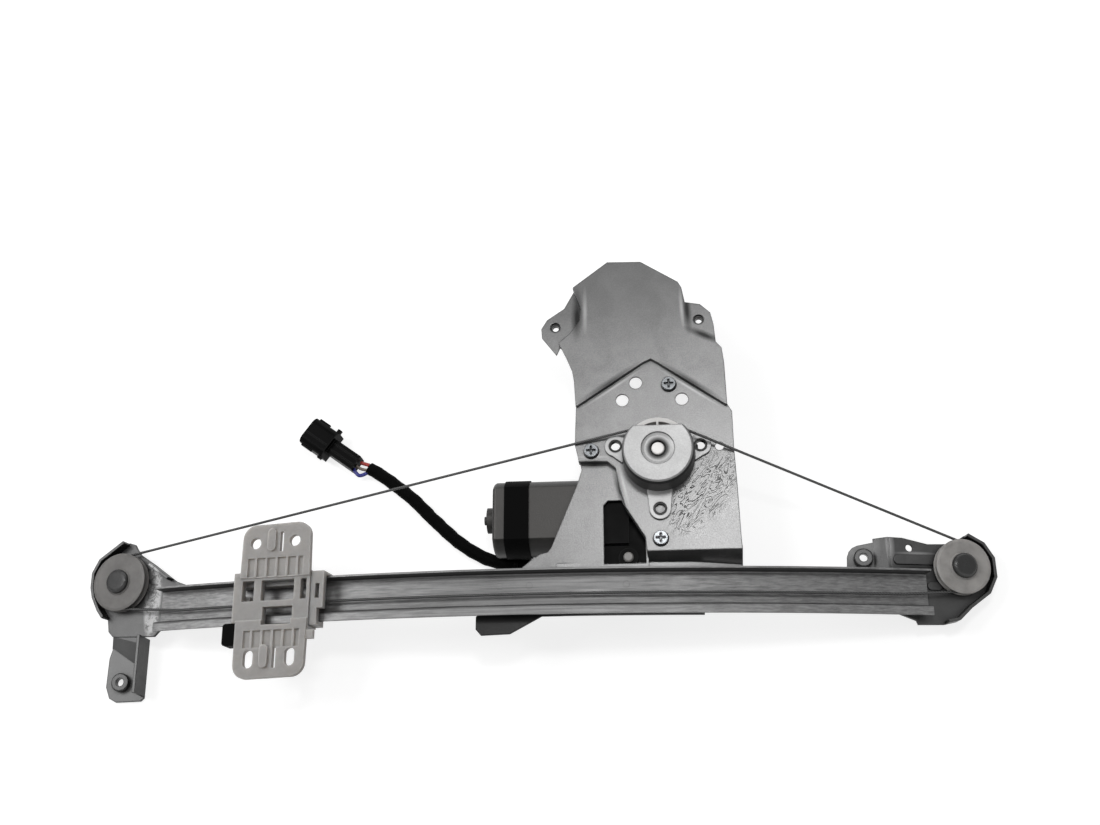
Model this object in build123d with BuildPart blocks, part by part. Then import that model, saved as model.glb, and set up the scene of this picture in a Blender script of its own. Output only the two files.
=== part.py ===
# Cable window regulator, lying on its back: rail along X, up is Z, millimetres.
import os
from math import acos, asin, atan2, cos, degrees, hypot, pi, radians, sin, sqrt, tan

from build123d import *

os.makedirs("parts", exist_ok=True)

# Guide rail
RAIL_RADIUS = 1050.0        # bow radius at the front face of the web
RAIL_MID_X = 4.0
WEB_TOP_Z = 42.0            # front face of the web at the middle of the rail
RAIL_HALF = 237.0
RAIL_X0, RAIL_X1 = RAIL_MID_X - RAIL_HALF, RAIL_MID_X + RAIL_HALF
RAIL_SHEET = 1.2
FLANGE_Y = -65.3            # outer face of the upper flange
FLANGE_RISE = 9.0
WALL_Y = -86.4              # middle of the lower wall at the web
WALL_LEAN = 1.4
LIP_RISE = 8.0
LIP_Y = -93.0
SEAT_GAP = 0.15             # a flat sheet against the bowed web

# Rope
ROPE_R = 0.8
ROPE_GAP = 0.3
ROPE_Y = -80.0
ROPE_RISE = 4.0             # rope centre above the web

# Plate
SHEET = 1.5
FIELD_Z = 45.5              # top of the plate round the drum
UPPER_Z = FIELD_Z + 3.0
EAR_Z = 41.6
LEG_Z = 40.2

# Drum and cover
DRUM_X, DRUM_Y = 83.4, 3.0
COVER_R = 22.0
COVER_WALL = 1.2
COVER_FACE_R = COVER_R - 1.8
COVER_TOP_Z = 64.4
COVER_CUT_Y = 0.65 * COVER_R    # above the drum centre
DRUM_R = COVER_R - COVER_WALL - 0.5
DRUM_PITCH_R = DRUM_R - 1.2
DRUM_PITCH = 2.8
DRUM_MID_Z = 55.2
COVER_EARS = (
    (-COVER_R - 4.3, 7.3), (COVER_R + 3.4, 6.4), (0.1, -COVER_R - 10.9),
)
EAR_WIDTHS = ((9.5, 6.4), (6.4, 8.5), (7.8, 7.8))    # where an ear meets the dome
COVER_EAR_R = 6.6
EYELET_R = 4.0
EYELET_BORE_R = 2.8
SHAFT_R = 6.0
SHAFT_BORE_R = 3.8
RUNNING = 0.05

# Motor
MOTOR_Y, MOTOR_Z = -27.3, 20.0
YOKE_X0, YOKE_X1 = -20.0, 40.0
YOKE_R = 23.5
YOKE_FLAT = YOKE_R - 6.5
YOKE_WALL = 1.8
ARM_R = 3.0
WORM_R = 6.2
WHEEL_R = DRUM_Y - MOTOR_Y - WORM_R - 0.3
TEETH = 73
GEAR_R = WHEEL_R + 2.4
GEAR_TOP_Z = FIELD_Z - SHEET - 0.1
SCREWS = ((7.2, 46.8), (-41.2, 4.9), (0.0, -51.0))
SCREW_R = 2.0
SCREW_HEAD_R = 5.0
SCREW_BOSS_R = 4.6

# Brackets and pulleys
BRACKET_SHEET = 1.8
LEFT_SEAT_X, RIGHT_SEAT_X = RAIL_X0 + 14.0, RAIL_X1 - 15.0
LEFT_PULLEY, RIGHT_PULLEY = (RAIL_X0 - 28.1, -59.4), (RAIL_X1 + 20.9, -62.6)
LEFT_PULLEY_R, RIGHT_PULLEY_R = 18.6, 16.8
GROOVE = 2.0                # from a pulley's rim down to the rope's middle
PULLEY_HALF = 3.8
RIVET_R = 4.0
RIVET_HEAD_R = 7.6
NUT_R = 5.8
M6_BORE_R = 2.5
M5_BORE_R = 2.1

# Slider
SLIDER_X = -146.0
EAR_LOW, EAR_HIGH = 13.5, 17.0
BLOCK_TOP = 15.6
COVER_LOW = FLANGE_RISE + 1.2
BLOCK_U0, BLOCK_U1 = -30.0, 19.8
BLOCK_Y0, BLOCK_Y1 = -97.0, -62.4

# Harness
SLEEVE_R = 4.2
WIRE_R = 1.2
PLUG_AT = (-145.8, 40.3)
PLUG_DIR = (0.81, -0.586)

CENTRE_Z = WEB_TOP_Z - RAIL_RADIUS
BOW_AXIS = Axis((RAIL_MID_X, 0, CENTRE_Z), (0, 1, 0))
ROPE_ARC_R = RAIL_RADIUS + ROPE_RISE
GEAR_AT = (DRUM_X, DRUM_Y)


def bow_angle(x):
    return asin((x - RAIL_MID_X) / RAIL_RADIUS)


def bow_plane(x, rise=0.0, y=0.0):
    """Plane tangent to the rail at x, at a height above the web's front face."""
    a = bow_angle(x)
    r = RAIL_RADIUS + rise
    origin = (RAIL_MID_X + r * sin(a), y, CENTRE_Z + r * cos(a))
    return Plane(origin=origin, x_dir=(cos(a), 0, -sin(a)), z_dir=(sin(a), 0, cos(a)))


def section_plane(x):
    """Section of the rail at x: local x is Y, local y is the radius of the bow."""
    a = bow_angle(x)
    origin = (RAIL_MID_X, 0, CENTRE_Z)
    return Plane(origin=origin, x_dir=(0, 1, 0), z_dir=(cos(a), 0, -sin(a)))


def bow_arc(x0, x1):
    return degrees(bow_angle(x1) - bow_angle(x0))


def save(builder, name):
    builder.part.label = name
    export_step(builder.part, f"parts/{name}.step")


def at_drum(dx, dy):
    return (DRUM_X + dx, DRUM_Y + dy)


LEFT_PLANE = bow_plane(LEFT_SEAT_X, -(RAIL_SHEET + SEAT_GAP))
RIGHT_PLANE = bow_plane(RIGHT_SEAT_X, -(RAIL_SHEET + SEAT_GAP))
PULLEY_RISE = ROPE_RISE + RAIL_SHEET + SEAT_GAP


def on_sheet(plane, seat_x, x):
    """Distance along a bracket's sheet from its seat to the place above x."""
    return (x - seat_x) / plane.x_dir.X


LEFT_U = on_sheet(LEFT_PLANE, LEFT_SEAT_X, LEFT_PULLEY[0])
RIGHT_U = on_sheet(RIGHT_PLANE, RIGHT_SEAT_X, RIGHT_PULLEY[0])


def shifted(plane, u, v, h=0.0):
    return Plane(
        origin=plane.from_local_coords(Vector(u, v, h)), x_dir=plane.x_dir, z_dir=plane.z_dir
    )


LEFT_SPIN = shifted(LEFT_PLANE, LEFT_U, LEFT_PULLEY[1])
RIGHT_SPIN = shifted(RIGHT_PLANE, RIGHT_U, RIGHT_PULLEY[1])

RAIL_RIVETS = tuple(
    (x, -74.0) for x in (RAIL_X0 + 9.0, RAIL_X0 + 23.0, RAIL_X1 - 29.0, RAIL_X1 - 13.0)
)
PLATE_RIVETS = ((-14.0, -74.0), (4.0, -74.0), (62.0, -74.0))
RAIL_RIVET_R = 2.0


# Guide rail: a bowed steel section with an upper flange and a lower lip
half = RAIL_SHEET / 2
with BuildPart() as guide_rail:
    with BuildSketch(section_plane(RAIL_X0)):
        with BuildLine():
            FilletPolyline(
                (FLANGE_Y - half, RAIL_RADIUS + FLANGE_RISE),
                (FLANGE_Y - half, RAIL_RADIUS - half),
                (WALL_Y, RAIL_RADIUS - half),
                (WALL_Y - WALL_LEAN, RAIL_RADIUS + LIP_RISE - half),
                (LIP_Y, RAIL_RADIUS + LIP_RISE - half),
                radius=1.6,
            )
        trace(line_width=RAIL_SHEET)
    revolve(axis=BOW_AXIS, revolution_arc=bow_arc(RAIL_X0, RAIL_X1))
    for x, y in RAIL_RIVETS + PLATE_RIVETS:
        with BuildSketch(bow_plane(x, 3.0)):
            with Locations((0, y)):
                Circle(RAIL_RIVET_R)
        extrude(amount=-8, mode=Mode.SUBTRACT)
save(guide_rail, "guide_rail")


# Left pulley bracket: tilted sheet, upstanding rim, stepped foot with a nut
LEFT_OUTLINE = (
    (-0.2, 27.3), (-17.0, 16.3), (-21.6, 7.7), (-21.6, -2.0), (-19.9, -8.5), (-15.0, -17.5),
    (-10.9, -22.6), (-9.6, -30.1), (-6.0, -33.6), (24.0, -35.0), (32.0, -27.2), (57.0, -27.2),
    (57.0, -8.0), (37.0, -0.5), (19.8, 11.8), (9.0, 18.9), (5.8, 23.0), (4.0, 26.0),
)
FOOT_X = RAIL_X0 - 11.4      # outer face of the foot's side wall
FOOT = tuple(
    (FOOT_X - dx, y) for dx, y in (
        (23.0, -98.8), (24.9, -106.0), (25.3, -124.0), (22.6, -131.0), (18.1, -133.5),
        (2.1, -133.0), (0.0, -131.0), (0.0, -114.4), (9.3, -108.0),
    )
)
FOOT_NUT = (FOOT_X - 15.1, -121.5)
WALL_TOP_Z = 18.0


def rim(plane, points, height):
    """An upstanding edge one sheet thick along points on a bracket."""
    with BuildSketch(plane) as strip:
        with BuildLine():
            Polyline(*points)
        trace(line_width=BRACKET_SHEET)
    extrude(strip.sketch, amount=height)


def pulley_seat(spin):
    """The hole for the pulley's rivet and the raised ring round it."""
    with BuildSketch(spin) as ring:
        Circle(7.0)
    extrude(ring.sketch, amount=1.2)
    with BuildSketch(spin) as hole:
        Circle(RIVET_R)
    extrude(hole.sketch, amount=5, both=True, mode=Mode.SUBTRACT)


with BuildPart() as left_bracket:
    low = Vector(FOOT_X - 23.0, -99.5, BRACKET_SHEET)
    across = Vector(13.8, -9.1, 0)
    top = LEFT_PLANE.from_local_coords(
        Vector(on_sheet(LEFT_PLANE, LEFT_SEAT_X, FOOT_X - 21.6), -92.3, 0))
    neck = Plane(origin=low, x_dir=across, z_dir=across.cross(top - low))
    with BuildSketch(neck):
        Polygon((-0.5, -0.8), (25.6, -0.8), (13.0, 24.0), (-5.0, 14.0), align=None)
    extrude(amount=-BRACKET_SHEET)
    split(bisect_by=LEFT_PLANE.offset(-0.4), keep=Keep.BOTTOM)
    with BuildSketch(Plane.XY):
        with Locations((FOOT_X - 0.9, -112.0)):
            Rectangle(1.8, 36.0)
    extrude(amount=WALL_TOP_Z)
    with BuildSketch(Plane.XY):
        Polygon(*FOOT, align=None)
    extrude(amount=BRACKET_SHEET)
    with BuildSketch(LEFT_SPIN):
        Polygon(*LEFT_OUTLINE, align=None)
    extrude(amount=-BRACKET_SHEET)
    edge = [(x, y) for x, y in LEFT_OUTLINE[:7]]
    edge = [(x + 0.9 * (-x / hypot(x, y)), y + 0.9 * (-y / hypot(x, y))) for x, y in edge]
    rim(LEFT_SPIN.offset(-0.9), edge, 7.9)
    rim(LEFT_SPIN.offset(-0.9), ((19.2, 11.0), (34.0, 0.6)), 6.9)
    pulley_seat(LEFT_SPIN)
    with BuildSketch(Plane.XY):
        with Locations(FOOT_NUT):
            Circle(3.2)
    extrude(amount=BRACKET_SHEET, mode=Mode.SUBTRACT)
    for x, y in RAIL_RIVETS[:2]:
        with BuildSketch(bow_plane(x, 3.0)):
            with Locations((0, y)):
                Circle(RAIL_RIVET_R)
        extrude(amount=-9, mode=Mode.SUBTRACT)
save(left_bracket, "left_pulley_bracket")


# Right pulley bracket: tilted sheet, rim, rib and a lower ear with a nut
RIGHT_OUTLINE = (
    (-42.0, 18.9), (-34.0, 18.6), (-18.4, 15.0), (-3.0, 15.5), (5.0, 20.8), (14.8, 15.2),
    (20.5, 6.0), (20.8, -6.0), (15.7, -16.0), (3.0, -25.2), (-5.0, -32.5), (-12.0, -34.1),
    (-28.0, -34.5), (-29.0, -32.0), (-49.0, -24.6), (-49.0, -3.9), (-42.0, -1.9),
)
EAR_X = RAIL_X1 - 46.2
EAR_TOP_Z = 14.0
EAR_NUT = (EAR_X + 9.8, -56.0)
with BuildPart() as right_bracket:
    with BuildSketch(Plane.XY.offset(EAR_TOP_Z)):
        points = (
            (0.0, -61.0), (0.3, -54.6), (1.4, -51.4), (3.6, -49.0), (6.8, -47.6), (18.2, -45.6),
            (20.2, -64.0), (2.2, -64.0),
        )
        Polygon(*[(EAR_X + dx, y) for dx, y in points], align=None)
    extrude(amount=-BRACKET_SHEET)
    slope_top = EAR_X + 24.4
    with BuildSketch(Plane.XZ.offset(43.6)):
        sheet_z = RIGHT_PLANE.from_local_coords(
            Vector(on_sheet(RIGHT_PLANE, RIGHT_SEAT_X, slope_top), 0, -0.4)).Z
        Polygon(
            (EAR_X + 16.2, EAR_TOP_Z), (EAR_X + 18.2, EAR_TOP_Z - BRACKET_SHEET),
            (slope_top + 2.4, sheet_z - 0.6), (slope_top, sheet_z), align=None,
        )
    extrude(amount=20.4)
    with BuildSketch(RIGHT_SPIN):
        Polygon(*RIGHT_OUTLINE, align=None)
    extrude(amount=-BRACKET_SHEET)
    edge = [(x, y) for x, y in RIGHT_OUTLINE[4:12]]
    edge = [(x + 0.9 * (-x / hypot(x, y)), y + 0.9 * (-y / hypot(x, y))) for x, y in edge]
    rim(RIGHT_SPIN.offset(-0.9), edge, 7.9)
    with BuildSketch(RIGHT_SPIN.offset(-0.5)):
        with Locations((-27.0, 5.0)):
            SlotOverall(27, 6)
        with Locations((-16.0, -11.0)):
            SlotOverall(9.2, 5)
    extrude(amount=1.6)
    pulley_seat(RIGHT_SPIN)
    with BuildSketch(RIGHT_SPIN):
        with Locations((-30.0, 12.4)):
            Circle(2.2)
    extrude(amount=5, both=True, mode=Mode.SUBTRACT)
    with BuildSketch(Plane.XY.offset(EAR_TOP_Z)):
        with Locations(EAR_NUT):
            Circle(3.2)
    extrude(amount=-BRACKET_SHEET, mode=Mode.SUBTRACT)
    for x, y in RAIL_RIVETS[2:]:
        with BuildSketch(bow_plane(x, 3.0)):
            with Locations((0, y)):
                Circle(RAIL_RIVET_R)
        extrude(amount=-9, mode=Mode.SUBTRACT)
save(right_bracket, "right_pulley_bracket")


# Motor plate: one pressed sheet on four levels, with a leg and a tab under the rail
UPPER = (
    (53.7, 133.5), (74.9, 132.8), (98.2, 117.8), (100.4, 113.7), (102.2, 103.6),
    (111.6, 101.8), (117.8, 95.9), (119.6, 88.0), (120.6, 76.0), (124.0, 72.0), (125.2, 62.2),
    (126.0, 34.5), (83.7, 64.1), (79.8, 66.4), (74.2, 63.7), (33.0, 36.6), (32.0, 53.3),
    (30.8, 60.2), (27.3, 68.8), (22.6, 78.8), (29.6, 85.1), (36.1, 94.3), (36.9, 103.1),
    (31.8, 117.0),
)
STEP_ARC = ((22.8, 78.8), (30.0, 84.8), (36.5, 94.1), (37.2, 103.2), (32.2, 116.6))
LEFT_EAR = (
    (31.8, 117.0), (25.4, 105.4), (14.5, 98.0), (10.8, 92.0), (11.2, 85.9), (15.3, 80.5),
    (20.5, 73.8), *STEP_ARC,
)
VEE = ((33.4, 37.4), (74.2, 64.5), (79.8, 67.2), (83.7, 64.9), (125.6, 35.2))
STEP = ((34.3, 2.4), (52.2, 2.0), (57.6, -2.7), (59.6, -14.8), (63.4, -27.6), (75.0, -46.6))
FIELD = (
    (126.1, 35.8), (128.8, 31.0), (129.1, 6.4), (130.2, -17.7), (131.2, -49.2), (131.6, -55.2),
    (75.6, -55.2), *reversed(STEP), (32.1, 12.5), (33.0, 38.6), (74.2, 65.7), (79.8, 68.4),
    (83.7, 66.1),
)
LEG = (
    (33.8, 7.0), (35.7, -2.1), (32.7, -12.1), (17.0, -50.5), (14.8, -53.4), (10.4, -54.4),
    (5.2, -57.7), (-1.0, -62.7), (-28.4, -92.0), (-28.4, -99.5), (-25.2, -103.2), (-7.8, -102.6),
    (11.3, -92.4), (24.0, -92.4), (24.0, -64.0), (76.0, -64.0), *reversed(STEP),
)
WINDOW = (
    (48.9, -61.5), (48.9, -25.0), (51.6, -22.2), (60.0, -22.2), (62.7, -28.4), (73.9, -46.8),
    (74.2, -61.5),
)
PLATE_HOLES = ((70.2, 51.8), (61.7, 40.6), (98.4, 40.1))
LEFT_NUT, RIGHT_NUT = (19.8, 92.6), (110.4, 91.4)
BACK_R = RAIL_RADIUS - RAIL_SHEET - SEAT_GAP


def pressed(points, top, deep=SHEET):
    with BuildSketch(Plane.XY.offset(top)) as area:
        Polygon(*points, align=None)
    extrude(area.sketch, amount=-deep)


def step_wall(points, top, bottom):
    with BuildSketch(Plane.XY.offset(bottom)) as strip:
        with BuildLine():
            Polyline(*points)
        trace(line_width=SHEET)
    extrude(strip.sketch, amount=top - bottom)


with BuildPart() as motor_plate:
    with BuildSketch(Plane.YZ.offset(75.2)):
        Polygon(
            (-53.6, FIELD_Z - 0.1), (-55.4, FIELD_Z - 0.1), (-63.6, 30.0), (-61.8, 30.0),
            align=None,
        )
    extrude(amount=56.4)
    with BuildSketch(section_plane(20.0)):
        Polygon(
            (-70.0, 950), (-50.0, 950), (-50.0, BACK_R - SHEET), (-70.0, BACK_R - SHEET),
            align=None,
        )
    revolve(axis=BOW_AXIS, revolution_arc=bow_arc(20, 150), mode=Mode.SUBTRACT)
    with BuildSketch(section_plane(20.0)):
        Polygon(
            (-92.4, BACK_R - SHEET), (-60.4, BACK_R - SHEET), (-60.4, BACK_R), (-92.4, BACK_R),
            align=None,
        )
    revolve(axis=BOW_AXIS, revolution_arc=bow_arc(20, 108))
    with BuildSketch(section_plane(107.0)):
        Polygon(
            (-64.6, BACK_R - SHEET), (-60.4, BACK_R - SHEET), (-60.4, BACK_R), (-64.6, BACK_R),
            align=None,
        )
    revolve(axis=BOW_AXIS, revolution_arc=bow_arc(107, 131.6))
    pressed(UPPER, UPPER_Z)
    pressed(FIELD, FIELD_Z)
    pressed(LEFT_EAR, EAR_Z)
    pressed(LEG, LEG_Z)
    step_wall(STEP_ARC, UPPER_Z, EAR_Z - SHEET)
    step_wall(VEE, UPPER_Z, FIELD_Z - SHEET)
    step_wall((*STEP, (75.6, -54.6)), FIELD_Z, LEG_Z - SHEET)
    with BuildSketch(Plane.XY.offset(LEG_Z + 1)):
        Polygon(*WINDOW, align=None)
    extrude(amount=-4, mode=Mode.SUBTRACT)
    with BuildSketch(Plane.XY.offset(30)):
        with Locations(GEAR_AT):
            Circle(9.0)
        with Locations(*[at_drum(*p) for p in COVER_EARS[:2]]):
            Circle(EYELET_R + 0.1)
        with Locations(*[at_drum(*p) for p in SCREWS]):
            Circle(SCREW_R + 0.1)
        with Locations(*PLATE_HOLES):
            Circle(3.9)
        with Locations((120.3, 8.8)):
            Circle(2.6)
        with Locations(LEFT_NUT, RIGHT_NUT):
            Circle(3.3)
    extrude(amount=30, mode=Mode.SUBTRACT)
    for x, y in PLATE_RIVETS:
        with BuildSketch(bow_plane(x, 3.0)):
            with Locations((0, y)):
                Circle(RAIL_RIVET_R)
        extrude(amount=-9, mode=Mode.SUBTRACT)
save(motor_plate, "motor_plate")


# Drum cover: a pressed dome cut off flat above, with three ears and steel eyelets
with BuildPart() as drum_cover:
    with BuildSketch(Plane.XZ.offset(-DRUM_Y)):
        with BuildLine():
            Polyline(
                (DRUM_X + 5.0, COVER_TOP_Z - 2.6),
                (DRUM_X + COVER_R - COVER_WALL - 1.4, COVER_TOP_Z - 2.6),
                (DRUM_X + COVER_R - COVER_WALL - 0.1, COVER_TOP_Z - 3.9),
                (DRUM_X + COVER_R - COVER_WALL, FIELD_Z),
                (DRUM_X + COVER_R, FIELD_Z),
                (DRUM_X + COVER_R - 0.2, COVER_TOP_Z - 3.6),
                (DRUM_X + COVER_FACE_R + 0.9, COVER_TOP_Z - 0.8),
                (DRUM_X + COVER_FACE_R, COVER_TOP_Z),
                (DRUM_X + 10.0, COVER_TOP_Z),
                (DRUM_X + 10.0, COVER_TOP_Z - 1.0),
                (DRUM_X + 8.2, COVER_TOP_Z - 1.6),
                (DRUM_X + 5.0, COVER_TOP_Z - 1.6),
                close=True,
            )
        make_face()
    revolve(axis=Axis((DRUM_X, DRUM_Y, 0), (0, 0, 1)))
    with BuildSketch(Plane.XY.offset(FIELD_Z)):
        for (dx, dy), (left, right) in zip(COVER_EARS, EAR_WIDTHS):
            d = hypot(dx, dy)
            with Locations(at_drum(dx, dy)):
                Circle(COVER_EAR_R)
            ux, uy = dx / d, dy / d
            inner = COVER_R - 1.6
            Polygon(
                at_drum(ux * inner - uy * left, uy * inner + ux * left),
                at_drum(ux * inner + uy * right, uy * inner - ux * right),
                at_drum(dx + uy * COVER_EAR_R, dy - ux * COVER_EAR_R),
                at_drum(dx - uy * COVER_EAR_R, dy + ux * COVER_EAR_R),
                align=None,
            )
        with Locations(GEAR_AT):
            Circle(COVER_R - COVER_WALL, mode=Mode.SUBTRACT)
        with Locations(*[at_drum(*p) for p in COVER_EARS]):
            Circle(EYELET_R, mode=Mode.SUBTRACT)
    extrude(amount=1.8)
    with BuildSketch(Plane.XY.offset(FIELD_Z - 1)):
        with Locations(at_drum(0, COVER_CUT_Y + 20)):
            Rectangle(80, 40)
    extrude(amount=30, mode=Mode.SUBTRACT)
    exit_at = at_drum(0.39 * DRUM_PITCH_R, 0.95 * DRUM_PITCH_R)
    with BuildSketch(Plane(origin=exit_at + (DRUM_MID_Z + DRUM_PITCH - 0.6,),
                           z_dir=(0.91, -0.36, -0.22))):
        Circle(2.0)
    extrude(amount=30, mode=Mode.SUBTRACT)
save(drum_cover, "drum_cover")

with BuildPart() as eyelets:
    for (dx, dy), low in zip(COVER_EARS, (SHEET, SHEET, 0.0)):
        with BuildSketch(Plane.XY.offset(FIELD_Z - low)):
            with Locations(at_drum(dx, dy)):
                Circle(EYELET_R)
                Circle(EYELET_BORE_R, mode=Mode.SUBTRACT)
        extrude(amount=low + 2.0)
save(eyelets, "cover_eyelets")


# Cable drum with three grooves, its hollow shaft and the rope turns it carries
DRUM_LOW = DRUM_MID_Z - DRUM_PITCH - 3.6
DRUM_HIGH = DRUM_MID_Z + DRUM_PITCH + 2.2
with BuildPart() as cable_drum:
    with BuildSketch(Plane.XZ.offset(-DRUM_Y)):
        floor_r = DRUM_PITCH_R - ROPE_R - ROPE_GAP
        Polygon(
            (DRUM_X + SHAFT_R, DRUM_LOW), (DRUM_X + DRUM_R, DRUM_LOW),
            (DRUM_X + DRUM_R, DRUM_LOW + 1.0), (DRUM_X + floor_r, DRUM_LOW + 1.2),
            (DRUM_X + floor_r, DRUM_HIGH - 1.2), (DRUM_X + DRUM_R, DRUM_HIGH - 1.0),
            (DRUM_X + DRUM_R, DRUM_HIGH), (DRUM_X + SHAFT_R, DRUM_HIGH), align=None,
        )
    revolve(axis=Axis((DRUM_X, DRUM_Y, 0), (0, 0, 1)))
    with BuildSketch(Plane.XY.offset(DRUM_HIGH)):
        with Locations(GEAR_AT):
            Circle(DRUM_R - 2.6)
            Circle(9.5, mode=Mode.SUBTRACT)
            with PolarLocations(0, 12):
                Rectangle(DRUM_R - 2.0, 1.4, align=(Align.MIN, Align.CENTER), mode=Mode.SUBTRACT)
    extrude(amount=-6, mode=Mode.SUBTRACT)
save(cable_drum, "cable_drum")

with BuildPart() as wraps:
    with BuildSketch(Plane.XZ.offset(-DRUM_Y)):
        with Locations((DRUM_X + DRUM_PITCH_R - ROPE_GAP, DRUM_MID_Z - 0.3)):
            RegularPolygon(ROPE_R, 8)
    revolve(axis=Axis((DRUM_X, DRUM_Y, 0), (0, 0, 1)))
save(wraps, "drum_rope_turns")

SHAFT_Z0 = 3.4
SHAFT_Z1 = COVER_TOP_Z - 3.2
with BuildPart() as output_shaft:
    with BuildSketch(Plane.XY.offset(SHAFT_Z0)):
        with Locations(GEAR_AT):
            Circle(SHAFT_R)
            Circle(SHAFT_BORE_R, mode=Mode.SUBTRACT)
    extrude(amount=SHAFT_Z1 - SHAFT_Z0)
save(output_shaft, "output_shaft")

with BuildPart() as hub_plug:
    with BuildSketch(Plane.XY.offset(SHAFT_Z1 - 6)):
        with Locations(GEAR_AT):
            Circle(SHAFT_BORE_R)
    extrude(amount=8.2)
    chamfer(hub_plug.edges().group_by(Axis.Z)[-1], 0.6)
save(hub_plug, "hub_plug")

with BuildPart() as worm_wheel:
    with BuildSketch(Plane.XY.offset(MOTOR_Z - 5)):
        with Locations(GEAR_AT):
            step = 2 * pi / TEETH
            pts = []
            for i in range(TEETH):
                pts.append((WHEEL_R * cos(i * step), WHEEL_R * sin(i * step)))
                a = (i + 0.5) * step
                pts.append(((WHEEL_R - 1.3) * cos(a), (WHEEL_R - 1.3) * sin(a)))
            Polygon(*pts, align=None)
            Circle(SHAFT_R, mode=Mode.SUBTRACT)
    extrude(amount=10)
    for z, way in ((MOTOR_Z + 5, -2.5), (MOTOR_Z - 5, 2.5)):
        with BuildSketch(Plane.XY.offset(z)):
            with Locations(GEAR_AT):
                Circle(17.5)
                Circle(9.5, mode=Mode.SUBTRACT)
        extrude(amount=way, mode=Mode.SUBTRACT)
save(worm_wheel, "worm_wheel")


# Motor: yoke, magnets, armature, brushes
MOTOR_PLANE = Plane(origin=(0, MOTOR_Y, MOTOR_Z), x_dir=(0, 1, 0), z_dir=(1, 0, 0))
MOTOR_AXIS = Axis((0, MOTOR_Y, MOTOR_Z), (1, 0, 0))


def tube(x0, x1, outer, inner=0.0, mode=Mode.ADD):
    with BuildSketch(MOTOR_PLANE.offset(x0)) as ring:
        Circle(outer)
        if inner:
            Circle(inner, mode=Mode.SUBTRACT)
    extrude(ring.sketch, amount=x1 - x0, mode=mode)


def flatted(x0, x1, radius, flat, mode=Mode.ADD):
    with BuildSketch(MOTOR_PLANE.offset(x0)) as area:
        Circle(radius)
        Rectangle(4 * radius, 2 * flat, mode=Mode.INTERSECT)
    extrude(area.sketch, amount=x1 - x0, mode=mode)


END_X0 = YOKE_X0 - 4.8
with BuildPart() as yoke:
    flatted(YOKE_X0, YOKE_X1, YOKE_R, YOKE_FLAT)
    fillet(yoke.edges().group_by(Axis.X)[0], 2.5)
    tube(END_X0, YOKE_X0 + 1, 8.0)
    tube(END_X0 - 2.0, END_X0 + 1, 2.7)
    flatted(YOKE_X0 + YOKE_WALL, YOKE_X1, YOKE_R - YOKE_WALL, YOKE_FLAT - YOKE_WALL, Mode.SUBTRACT)
    tube(END_X0 + 1.2, YOKE_X0 + 3, 6.4, mode=Mode.SUBTRACT)
    with BuildSketch(Plane.YZ.offset(YOKE_X1)):
        for sy in (-1, 1):
            y, rise = MOTOR_Y + sy * (YOKE_R - 6.0), YOKE_FLAT - 6.0
            with Locations((y, MOTOR_Z + rise), (y, MOTOR_Z - rise)):
                Circle(2.6)
    extrude(amount=-3)
save(yoke, "motor_yoke")

with BuildPart() as band:
    flatted(-12.5, 2.7, YOKE_R + 0.8, YOKE_FLAT + 0.8)
    flatted(-12.5, 2.7, YOKE_R, YOKE_FLAT, Mode.SUBTRACT)
save(band, "yoke_band")

with BuildPart() as end_bearing:
    tube(END_X0 + 1.4, YOKE_X0 + 2.6, 6.4, ARM_R + RUNNING)
save(end_bearing, "end_bearing")

with BuildPart() as magnets:
    with BuildSketch(MOTOR_PLANE.offset(-9)):
        Circle(YOKE_R - YOKE_WALL)
        Circle(14.8, mode=Mode.SUBTRACT)
        Rectangle(60, 25, mode=Mode.INTERSECT)
    extrude(amount=38)
save(magnets, "field_magnets")

CORE_X0, CORE_X1 = -3.0, 23.0
SLOTS = 10
with BuildPart() as core:
    with BuildSketch(MOTOR_PLANE.offset(CORE_X0)):
        Circle(13.6)
        Circle(ARM_R, mode=Mode.SUBTRACT)
        with PolarLocations(0, SLOTS):
            with Locations((9.6, 0)):
                Rectangle(10, 2.6, mode=Mode.SUBTRACT)
    extrude(amount=CORE_X1 - CORE_X0)
save(core, "armature_core")

with BuildPart() as windings:
    for x0 in (CORE_X0 - 5.2, CORE_X1 + 0.2):
        tube(x0, x0 + 5, 12.4, 4.6)
    with BuildSketch(MOTOR_PLANE.offset(CORE_X0 - 0.5)):
        with PolarLocations(0, SLOTS):
            with Locations((8.6, 0)):
                Rectangle(6.8, 2.2)
    extrude(amount=CORE_X1 - CORE_X0 + 1)
save(windings, "armature_windings")

COMM_X0, COMM_X1 = 48.0, 58.0
with BuildPart() as commutator:
    with BuildSketch(MOTOR_PLANE.offset(COMM_X0)):
        Circle(8.0)
        Circle(ARM_R, mode=Mode.SUBTRACT)
        with PolarLocations(7.4, SLOTS):
            Rectangle(1.6, 0.5, mode=Mode.SUBTRACT)
    extrude(amount=COMM_X1 - COMM_X0)
save(commutator, "commutator")

WORM_X0, WORM_X1 = 68.0, 98.0
ARM_END_X = 108.0
with BuildPart() as armature_shaft:
    tube(END_X0 + 2.0, ARM_END_X, ARM_R)
save(armature_shaft, "armature_shaft")

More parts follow.
